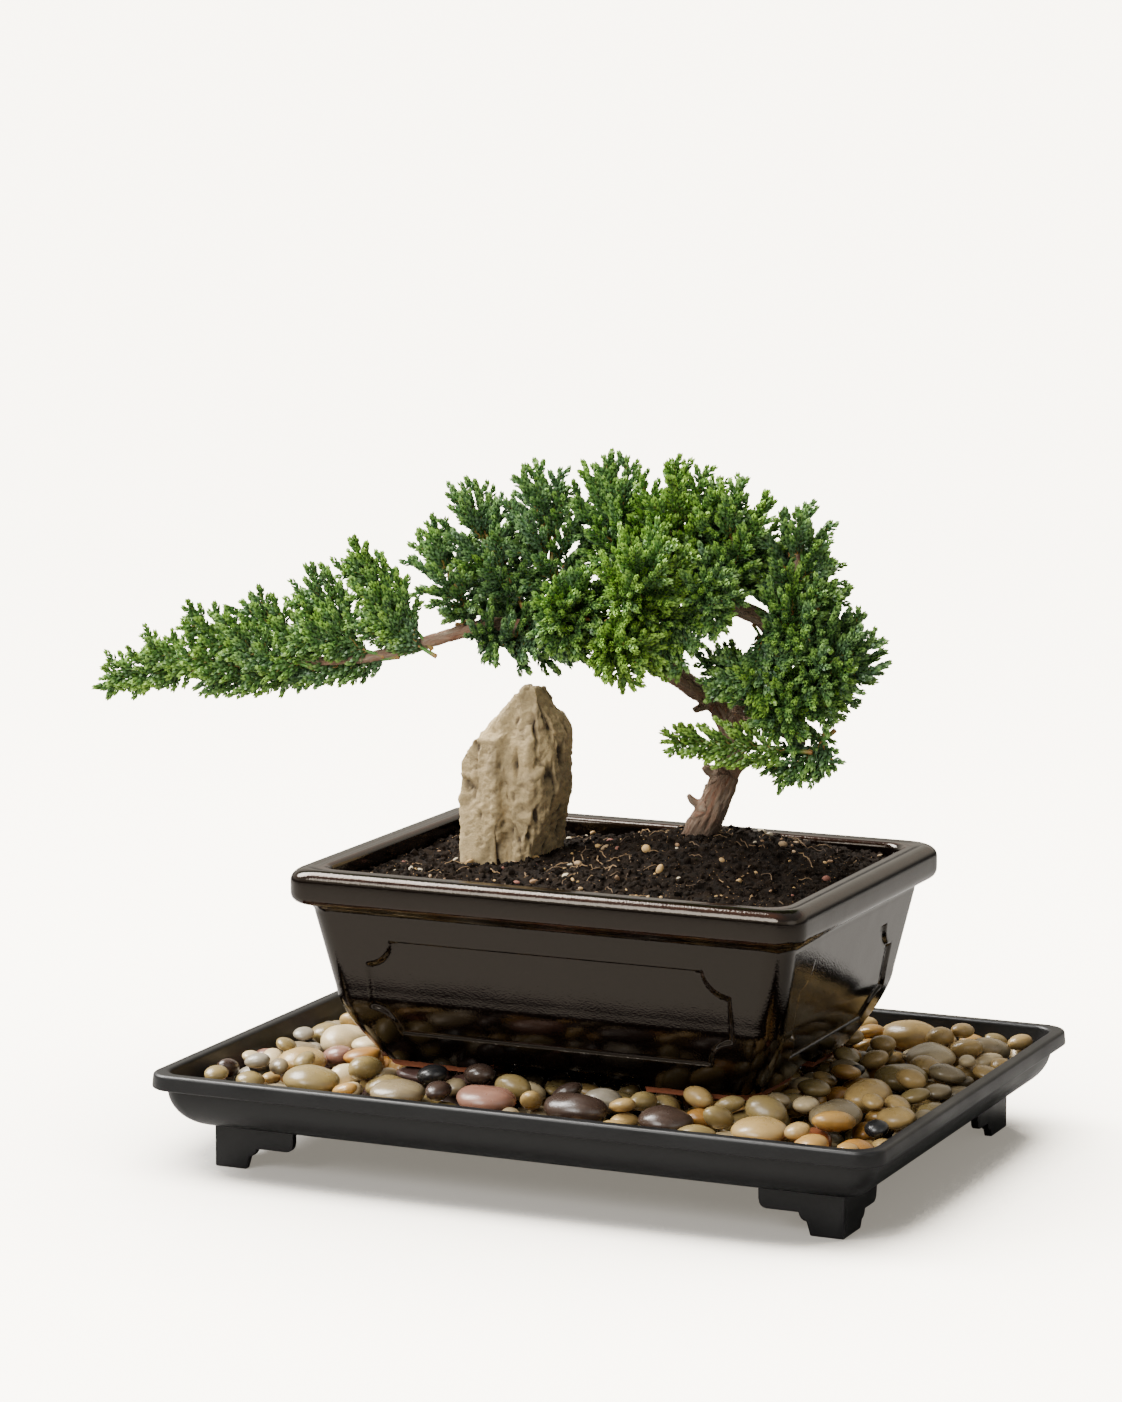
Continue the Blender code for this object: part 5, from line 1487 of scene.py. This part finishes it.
# The stone is three split blocks grown together: each one's low and high corners, then the planes that
# split it, as a point and a direction, in millimetres from the middle of the stone's foot.
STONE_BLOCKS = [
    ((-14, -17, 0), (21.5, 22, 73), [
        ((18.5, 0, 61), (0.85, 0.0, 0.50)), ((-14.5, 0, 51), (-0.76, 0.0, 0.65)),
        ((0, -17.5, 50), (0.0, -0.93, 0.36)), ((0, 21, 35), (0.0, 0.91, 0.41)),
        ((14.5, -17, 0), (0.75, -0.66, 0.05)), ((-11, 20, 0), (-0.70, 0.70, 0.05)),
        ((17, 18, 0), (0.70, 0.70, 0.05)), ((21.5, 0, 34), (0.93, 0.0, -0.34)),
    ]),
    ((-22, -22, 0), (6, 10, 60), [
        ((-22, 0, 40), (-0.995, 0.0, -0.08)), ((-19, 0, 49), (-0.80, 0.0, 0.60)),
        ((-8, -21.5, 23), (-0.15, -0.98, 0.08)), ((0, -21, 0), (0.80, -0.60, 0.05)),
        ((-6, -14, 56), (-0.10, -0.40, 0.91)), ((-20, 4, 0), (-0.80, 0.60, 0.0)),
    ]),
    ((-3, -21, 0), (18, 5, 50), [
        ((6, -19, 40), (0.15, -0.72, 0.68)), ((3, -18, 0), (-0.82, -0.57, 0.02)),
        ((10, -20.5, 0), (0.10, -0.99, 0.06)), ((15.5, -16, 0), (0.78, -0.62, 0.0)),
        ((17, 0, 34), (0.95, 0.0, -0.30)),
    ]),
]


class JUNIPER_OT_standing_stone(bpy.types.Operator):
    """Make the weathered upright stone"""

    bl_idname = "juniper.standing_stone"
    bl_label = "Standing Stone"

    def execute(self, context):
        foot = Vector(((STONE_LOW.x + STONE_HIGH.x) / 2.0, (STONE_LOW.y + STONE_HIGH.y) / 2.0, STONE_LOW.z))
        shape = bmesh.new()
        for low, high, planes in STONE_BLOCKS:
            block = self.split_block(low, high, planes)
            shape.from_mesh(block)
            bpy.data.meshes.remove(block)
        bmesh.ops.scale(shape, vec=(0.84 * MM, 0.82 * MM, MM), verts=shape.verts)
        bmesh.ops.translate(shape, vec=foot, verts=shape.verts)
        stone = new_object("stone_finish", keep_shape(shape, "stone_finish"))
        grow_together(stone, 0.00062, 14)
        places = vector_table(stone.data.vertices, "co")
        normals = vector_table(stone.data.vertex_normals, "vector")
        hollows = np.zeros(len(places))
        for index in range(len(places)):
            local = (Vector(places[index]) - foot) / MM
            depth, hollows[index] = self.weather(local)
            places[index] += normals[index] * depth * MM
        places[:, 2] = np.maximum(places[:, 2], foot.z)
        set_places(stone.data, places)
        # The hollow value drives the painted shade in the stone's cracks and pits.
        store_values(stone.data, "hollow", hollows)
        repaint(stone, standing_stone(context.scene.juniper_colours))
        stone.data.shade_smooth()
        finish_piece(stone, "standing_stone", "stone")
        return {"FINISHED"}

    def split_block(self, low, high, planes):
        block = box_mesh("block", low, high)
        shape = bmesh.new()
        shape.from_mesh(block)
        for point, direction in planes:
            geometry = shape.verts[:] + shape.edges[:] + shape.faces[:]
            cut = bmesh.ops.bisect_plane(shape, geom=geometry, plane_co=point, plane_no=direction,
                                         clear_outer=True)
            rim = [part for part in cut["geom_cut"] if isinstance(part, bmesh.types.BMEdge)]
            bmesh.ops.contextual_create(shape, geom=rim)
        bmesh.ops.recalc_face_normals(shape, faces=shape.faces)
        shape.to_mesh(block)
        shape.free()
        return block

    def weather(self, local):
        """How far one place on the stone stands out, and how deep in a crack or a pit it lies."""
        stretched = Vector((local.x, local.y, 0.42 * local.z))
        swell = noise.fractal(stretched * 0.080, 0.9, 2.0, 3)
        lean = Vector((local.x + 0.22 * local.z, local.y, 0.30 * local.z + 30.0))
        ridges = noise.ridged_multi_fractal(lean * 0.068, 0.9, 2.1, 3, 1.0, 2.0)
        furrow = min(1.0, max(0.0, 1.9 * (ridges - 1.33)))
        grain = noise.fractal(local * 0.34, 0.60, 2.3, 5)
        spot = noise.noise(stretched * 0.30 + Vector((0.0, 0.0, 9.0)))
        pit = max(0.0, spot - 0.44)
        depth = 1.9 * swell - 2.9 * furrow + 0.62 * grain - 3.6 * pit
        hollow = min(1.0, 1.2 * furrow + 3.5 * pit + 0.5 * max(0.0, -grain))
        return min(0.8, depth), hollow


# Tree ------------------------------------------------------------------------------------------------

def tree_point(x, y, z):
    """World place of a point of the tree given in millimetres from where the trunk leaves the soil."""
    return Vector((PLANTING_X + TRUNK_X + x * MM, TRUNK_Y + y * MM, SOIL_TOP + z * MM))


def smooth_path(points, spacing=1.0):
    """Places and radii about a millimetre apart on a smooth line through the wood's points."""
    rows = [np.array(point, dtype=float) for point in points]
    rows = [2.0 * rows[0] - rows[1]] + rows + [2.0 * rows[-1] - rows[-2]]
    path = []
    for before, start, end, after in zip(rows, rows[1:], rows[2:], rows[3:]):
        count = max(2, int(np.linalg.norm((end - start)[:3]) / spacing))
        for step in range(count):
            t = step / count
            path.append(0.5 * (2.0 * start + (end - before) * t
                               + (2.0 * before - 5.0 * start + 4.0 * end - after) * t ** 2
                               + (3.0 * start - before - 3.0 * end + after) * t ** 3))
    path.append(rows[-2])
    return np.array(path)


def path_directions(places):
    tangents = np.gradient(places, axis=0)
    return tangents / np.linalg.norm(tangents, axis=1)[:, None]


def tube_mesh(path, name, sides=14):
    """A closed tube of the path's own radii, in world metres, with rounded ends."""
    places = path[:, :3]
    tangents = path_directions(places)
    side = np.cross(tangents[0], (0.0, 1.0, 0.0))
    side /= np.linalg.norm(side)
    rings = []
    for place, tangent, radius in zip(places, tangents, path[:, 3]):
        side = side - tangent * np.dot(side, tangent)
        side /= np.linalg.norm(side)
        up = np.cross(tangent, side)
        turns = np.linspace(0.0, 2.0 * math.pi, sides, endpoint=False)
        rings.append(place + radius * (np.cos(turns)[:, None] * side + np.sin(turns)[:, None] * up))
    rings = np.array(rings) * MM + np.array(tree_point(0.0, 0.0, 0.0))
    return skin_rings(name, rings)


class JUNIPER_OT_wood(bpy.types.Operator):
    """Make the trunk, the arch, the long limb and the branches in flaky bark"""

    bl_idname = "juniper.wood"
    bl_label = "Trunk and Limbs"

    def execute(self, context):
        paths = [smooth_path(points) for points in [TRUNK_AND_ARCH, LONG_LIMB] + BRANCHES + STUBS]
        shape = bmesh.new()
        for path in paths:
            swollen = path.copy()
            swollen[:, 3] += 0.15
            mesh = tube_mesh(swollen, "run")
            shape.from_mesh(mesh)
            bpy.data.meshes.remove(mesh)
        wood = new_object("trunk_and_limbs_finish", keep_shape(shape, "trunk_and_limbs_finish"))
        grow_together(wood, 0.00055, 4)
        self.carve_bark(wood.data, paths)
        repaint(wood, flaky_bark(context.scene.juniper_colours))
        wood.data.shade_smooth()
        finish_piece(wood, "bark", "trunk_and_limbs")
        return {"FINISHED"}

    def carve_bark(self, mesh, paths):
        """Raise flakes and sink cracks along the grain, and keep the grain's own coordinates."""
        origin = np.array(tree_point(0.0, 0.0, 0.0))
        samples = []
        for number, path in enumerate(paths):
            places = path[:, :3]
            run = np.concatenate([[0.0], np.cumsum(np.linalg.norm(np.diff(places, axis=0), axis=1))])
            for place, tangent, length, radius in zip(places, path_directions(places), run, path[:, 3]):
                samples.append((place, tangent, length + 190.0 * number, radius))
        tree = KDTree(len(samples))
        for index, sample in enumerate(samples):
            tree.insert(sample[0], index)
        tree.balance()
        places = vector_table(mesh.vertices, "co")
        normals = vector_table(mesh.vertex_normals, "vector")
        grain = np.zeros_like(places)
        hollow = np.zeros(len(places))
        moved = places.copy()
        for index, (place, normal) in enumerate(zip(places, normals)):
            local = (place - origin) / MM
            _, nearest, _ = tree.find(local)
            centre, tangent, length, radius = samples[nearest]
            offset = local - centre
            along = length + float(np.dot(offset, tangent))
            around = offset - tangent * np.dot(offset, tangent)
            grain[index] = (along * MM, around[0] * MM, around[1] * MM + around[2] * MM)
            key = Vector((along * 0.085, *(around[:2] * 0.42))) + Vector((0.0, 0.0, around[2] * 0.42))
            flakes = noise.fractal(key * 1.6, 0.8, 2.2, 4)
            ridges = noise.ridged_multi_fractal(key * 1.3 + Vector((7.0, 0.0, 0.0)), 0.9, 2.2, 3, 1.0, 2.0)
            crack = min(1.0, max(0.0, ridges - 1.15))
            depth = min(1.0, radius / 5.0) * (0.80 * flakes - 0.95 * crack)
            moved[index] += normal * depth * MM
            hollow[index] = min(1.0, 0.9 * crack + max(0.0, -flakes) * 0.5)
        set_places(mesh, moved)
        store_values(mesh, "grain", grain, "FLOAT_VECTOR")
        # How deep each place lies in a crack, for the painted shade in the bark's cracks.
        store_values(mesh, "hollow", hollow)


# Foliage ---------------------------------------------------------------------------------------------

class Skeleton:
    """The shoots of one spray: short lines of points with the values that the leaves need."""

    def __init__(self):
        self.vertices = []
        self.edges = []
        self.tone = []
        self.girth = []
        self.leafy = []

    def add(self, points, tone, girths, leafy):
        first = len(self.vertices)
        for index, point in enumerate(points):
            self.vertices.append(tree_point(*point))
            share = index / (len(points) - 1)
            self.tone.append(tone)
            self.girth.append(girths[0] + (girths[1] - girths[0]) * share)
            self.leafy.append(1.0 if leafy else 0.0)
            if index:
                self.edges.append((first + index - 1, first + index))

    def to_object(self, name):
        mesh = mesh_from(name, [tuple(vertex) for vertex in self.vertices], edges=self.edges)
        store_values(mesh, "tone", self.tone)
        store_values(mesh, "girth", self.girth)
        store_values(mesh, "leafy", self.leafy)
        return new_object(name, mesh)


def bend_through(start, middle, end, count):
    """Points on a smooth bend from start to end."""
    shares = [index / (count - 1) for index in range(count)]
    return [start * (1 - t) ** 2 + middle * 2 * t * (1 - t) + end * t ** 2 for t in shares]


def vary_tone(dice, tone, spread):
    return min(1.0, max(0.0, tone + dice.gauss(0.0, spread)))


def grow_feather(skeleton, dice, root, end, face, tone):
    """A flat feather: a leading shoot with side shoots on alternate sides, and a few off its face."""
    axis = end - root
    length = axis.length
    lead = axis / length
    side = lead.cross(face)
    if side.length < 1e-3:
        side = lead.orthogonal()
    side.normalize()
    face = side.cross(lead)
    sway = side * dice.gauss(0.0, 0.05) + face * dice.uniform(-0.02, 0.12)
    main = bend_through(root, (root + end) / 2.0 + sway * length, end, 6)
    skeleton.add(main, tone, (1.5, 0.8), True)
    count = max(4, int(length / 2.9))
    for index in range(count):
        share = 0.08 + 0.78 * index / (count - 1)
        position = share * (len(main) - 1)
        below = min(int(position), len(main) - 2)
        start = main[below].lerp(main[below + 1], position - below)
        reach = (3.4 + 0.26 * length * (1.0 - share) ** 0.7) * dice.uniform(0.88, 1.12)
        handed = 1.0 if index % 2 else -1.0
        lift = dice.gauss(0.08, 0.14)
        if index % 4 == 3:
            lift += 0.65
            handed *= 0.55
        angle = math.radians(dice.uniform(36.0, 46.0))
        heading = lead * math.cos(angle) + side * handed * math.sin(angle) + face * lift
        heading = (heading + UP * 0.12).normalized()
        turned = (heading * 0.7 + lead * 0.4).normalized()
        knee = start + heading * reach * 0.55
        shoot = bend_through(start, knee, knee + turned * reach * 0.45, 4)
        shade = vary_tone(dice, tone, 0.07)
        skeleton.add(shoot, shade, (1.0, 0.7), True)
        if reach > 7.2:
            fork = shoot[1].lerp(shoot[2], 0.3)
            away = (turned * 0.8 + side * handed * 0.55 + face * dice.gauss(0.0, 0.2)).normalized()
            tip = fork + away * 3.6
            twig = bend_through(fork, (fork + tip) / 2.0 + turned * 0.3, tip, 3)
            skeleton.add(twig, shade, (0.8, 0.6), True)


def grow_narrow_spray(skeleton, dice, base, tip, breadth, feathers, tone):
    """One leading shoot in full leaf, with short feathers on alternate sides of it."""
    axis = tip - base
    lead = axis.normalized()
    front = Vector((0.0, -1.0, 0.0))
    side = lead.cross(front).normalized()
    if side.z < 0.0:
        side = -side
    face = (front + UP * 0.3).normalized()
    grow_feather(skeleton, dice, base + axis * 0.12, tip, face, tone)
    skeleton.add([base - lead * 3.0, base + axis * 0.15], tone, (2.4, 1.7), False)
    for index in range(feathers):
        share = 0.04 + 0.80 * (index + 0.5) / feathers
        handed = 1.0 if index % 2 else -1.0
        root = base + axis * share
        spread = dice.uniform(0.55, 0.85)
        heading = lead + side * handed * spread + UP * 0.22 + front * dice.uniform(-0.35, 0.55)
        heading.normalize()
        length = breadth * dice.uniform(0.80, 1.05) * (1.05 - 0.45 * share)
        grow_feather(skeleton, dice, root, root + heading * max(8.0, length), face,
                     vary_tone(dice, tone, 0.08))


def grow_broad_spray(skeleton, dice, base, tip, breadth, thickness, feathers, tone):
    """Feathers that start near the spray's own axis and end evenly over its outside."""
    axis = tip - base
    reach = axis.length
    lead = axis / reach
    turn = axis.to_track_quat("Z", "Y").to_matrix()
    across = turn.col[0]
    through = turn.col[1]
    middle = (base + tip) / 2.0
    first_spin = dice.uniform(0.0, 6.0)
    skeleton.add(bend_through(base - lead * 4.0, middle + UP, tip - lead * reach * 0.25, 5), tone,
                 (2.4, 1.2), False)
    grow_feather(skeleton, dice, tip - lead * 20.0, tip - lead + UP, Vector((0.3, -1.0, 0.2)),
                 tone)
    for index in range(feathers):
        height = 1.0 - 1.75 * (index + 0.35) / feathers
        spin = first_spin + 2.399963 * index + dice.uniform(-0.3, 0.3)
        ring = math.sqrt(max(0.0, 1.0 - height * height))
        outward = across * ring * math.cos(spin) + through * ring * math.sin(spin) + lead * height
        end = (middle + across * ring * math.cos(spin) * breadth * 0.52
               + through * ring * math.sin(spin) * thickness * 0.52 + lead * height * reach * 0.52)
        climb = 0.32 if outward.z > -0.3 else 0.12
        heading = (outward * 0.66 + lead * 0.50 + UP * climb).normalized()
        length = min(24.0, max(13.0, 0.62 * breadth)) * dice.uniform(0.85, 1.15)
        root = end - heading * length
        heart = base + axis * min(0.85, max(0.05, 0.15 + 0.30 * (height + 1.0)))
        root = root.lerp(heart, 0.22)
        face = outward + UP * 0.25 + Vector((dice.gauss(0, 0.2), dice.gauss(0, 0.2), dice.gauss(0, 0.2)))
        own_tone = vary_tone(dice, tone, 0.10)
        grow_feather(skeleton, dice, root, end, face, own_tone)
        if (root - heart).length > 2.0:
            twig = bend_through(heart, (heart + root) / 2.0 + heading, root, 3)
            skeleton.add(twig, own_tone, (1.9, 1.5), False)


def leaf_template():
    """One scale leaf, a unit long on +Z and a unit wide: keeled, broadest past the middle, bent in."""
    vertices = [(0.0, 0.0, 0.0)]
    for angle in (90.0, 210.0, 330.0):
        turn = math.radians(angle)
        vertices.append((0.5 * math.cos(turn), 0.40 * math.sin(turn) + 0.05, 0.62))
    vertices.append((0.0, 0.35, 1.0))
    faces = [(0, 2, 1), (0, 3, 2), (0, 1, 3), (4, 1, 2), (4, 2, 3), (4, 3, 1)]
    mesh = mesh_from("scale_leaf", vertices, faces)
    # How far up its leaf each point lies; the leaf material turns it into painted shade at the base and a
    # painted highlight at the tip.
    store_values(mesh, "up_leaf", [vertex[2] for vertex in vertices])
    return new_object("scale_leaf", mesh)


class JUNIPER_OT_foliage(bpy.types.Operator):
    """Grow the sprays of scale leaves"""

    bl_idname = "juniper.foliage"
    bl_label = "Foliage"

    def execute(self, context):
        sizes = context.scene.juniper_sizes
        colours = context.scene.juniper_colours
        leaf = leaf_template()
        tree = shoot_tree()
        looks = {
            "Leaf": leaf, "Whorl Spacing": sizes.whorl_spacing, "Leaf Length": sizes.leaf_length,
            "Leaf Width": sizes.leaf_width, "Base Lean": sizes.base_lean, "Tip Lean": sizes.tip_lean,
            "Stem Radius": 0.00040, "Leaf Material": scale_leaf(colours),
            "Stem Material": green_stem(colours),
        }
        skeletons = {}
        for number, (name, base, tip, breadth, thickness, feathers, tone) in enumerate(SPRAYS):
            skeleton = skeletons.setdefault(name, Skeleton())
            dice = random.Random(1000 + number)
            base = Vector(base)
            tip = Vector(tip)
            tip -= (tip - base).normalized() * 3.5
            if breadth < 23:
                grow_narrow_spray(skeleton, dice, base, tip, breadth, feathers, tone)
            else:
                grow_broad_spray(skeleton, dice, base, tip, breadth, thickness, feathers, tone)
        for number, (name, skeleton) in enumerate(skeletons.items()):
            spray = skeleton.to_object(name + "_leaves")
            run_nodes(spray, tree, {**looks, "Seed": number})
            finish_piece(spray, "juniper_foliage", name)
        bpy.data.objects.remove(leaf, do_unlink=True)
        return {"FINISHED"}


# Studio ----------------------------------------------------------------------------------------------

class JUNIPER_OT_studio(bpy.types.Operator):
    """Make the pale floor that curves up into a wall, the soft lights and the camera"""

    bl_idname = "juniper.studio"
    bl_label = "Studio"

    def execute(self, context):
        rings = [(0.0, 0.0), (0.9, 0.0), (1.8, 0.0), (2.4, 0.0)]
        rings += [(2.4 + 0.9 * sine, 0.9 * (1.0 - cosine)) for sine, cosine in quarter(12, 1)]
        rings.append((3.3, 2.6))
        sides = 96
        turns = [2.0 * math.pi * index / sides for index in range(sides)]
        vertices = [(radius * math.cos(turn), radius * math.sin(turn), z)
                    for radius, z in rings for turn in turns]
        faces = []
        for row, index in itertools.product(range(len(rings) - 1), range(sides)):
            low = row * sides
            following = (index + 1) % sides
            faces.append((low + index, low + following, low + sides + following, low + sides + index))
        mesh = mesh_from("studio_floor", vertices, faces)
        shape = bmesh.new()
        shape.from_mesh(mesh)
        bmesh.ops.remove_doubles(shape, verts=shape.verts, dist=1e-6)
        shape.normal_update()
        shape.to_mesh(mesh)
        shape.free()
        mesh.shade_smooth()
        floor = new_object("studio_floor", mesh, studio_floor(context.scene.juniper_colours))
        self.light_world(context)
        middle = Vector((PLANTING_X, 0.0, 0.10))
        self.add_light("key", middle + Vector((-1.45, 0.00, 1.70)), middle, 1.6, 46.0, (1.0, 0.975, 0.94))
        self.add_light("front", middle + Vector((-0.55, -1.75, 1.25)), middle, 1.2, 9.0, (1.0, 0.99, 0.97))
        self.add_light("fill", middle + Vector((1.7, -0.9, 0.8)), middle, 1.7, 1.5, (0.96, 0.98, 1.0))
        self.add_camera(context)
        return {"FINISHED"}

    def light_world(self, context):
        world = bpy.data.worlds.new("studio_light")
        world.use_nodes = True
        background = world.node_tree.nodes["Background"]
        background.inputs["Color"].default_value = (1.0, 0.985, 0.96, 1.0)
        background.inputs["Strength"].default_value = 0.50
        context.scene.world = world

    def add_light(self, name, place, target, size, power, colour):
        light = bpy.data.lights.new(name, "AREA")
        light.shape = "DISK"
        light.size = size
        light.energy = power
        light.color = colour
        light.spread = math.radians(75.0)
        lamp = new_object(name, light)
        lamp.location = place
        lamp.rotation_mode = "QUATERNION"
        lamp.rotation_quaternion = (target - place).to_track_quat("-Z", "Y")

    def add_camera(self, context):
        data = bpy.data.cameras.new("camera")
        data.lens = 118.08
        data.sensor_width = 36.0
        camera = new_object("camera", data)
        camera.location = (0.70017, -1.53898, 0.43334)
        camera.rotation_mode = "QUATERNION"
        camera.rotation_quaternion = Vector((-0.40459, 0.90114, -0.15576)).to_track_quat("-Z", "Y")
        data.clip_start = 0.05
        data.clip_end = 50.0
        context.scene.camera = camera


# Panel and registration ------------------------------------------------------------------------------

MAKERS = (
    JUNIPER_OT_humidity_tray,
    JUNIPER_OT_pot,
    JUNIPER_OT_drain_meshes,
    JUNIPER_OT_pebbles,
    JUNIPER_OT_soil,
    JUNIPER_OT_standing_stone,
    JUNIPER_OT_wood,
    JUNIPER_OT_foliage,
    JUNIPER_OT_studio,
)


class JUNIPER_PT_panel(bpy.types.Panel):
    """Buttons that make the pieces, and the sizes and colours that they use"""

    bl_idname = "JUNIPER_PT_panel"
    bl_label = "Juniper Bonsai"
    bl_space_type = "VIEW_3D"
    bl_region_type = "UI"
    bl_category = "Juniper Bonsai"

    def draw(self, context):
        column = self.layout.column()
        for maker in MAKERS:
            column.operator(maker.bl_idname)
        for group in (context.scene.juniper_sizes, context.scene.juniper_colours):
            for name in group.__annotations__:
                column.prop(group, name)


CLASSES = (JuniperSizes, JuniperColours, *MAKERS, JUNIPER_PT_panel)


def register():
    for made_class in CLASSES:
        bpy.utils.register_class(made_class)
    bpy.types.Scene.juniper_sizes = PointerProperty(type=JuniperSizes)
    bpy.types.Scene.juniper_colours = PointerProperty(type=JuniperColours)


def unregister():
    del bpy.types.Scene.juniper_colours
    del bpy.types.Scene.juniper_sizes
    for made_class in reversed(CLASSES):
        bpy.utils.unregister_class(made_class)


def write_sizes():
    """Bring the view layer up to date."""
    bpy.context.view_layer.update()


def main():
    register()
    bpy.ops.juniper.humidity_tray()
    bpy.ops.juniper.pot()
    bpy.ops.juniper.drain_meshes()
    bpy.ops.juniper.pebbles()
    bpy.ops.juniper.soil()
    bpy.ops.juniper.standing_stone()
    bpy.ops.juniper.wood()
    bpy.ops.juniper.foliage()
    bpy.ops.juniper.studio()
    write_sizes()


if __name__ == "__main__":
    main()
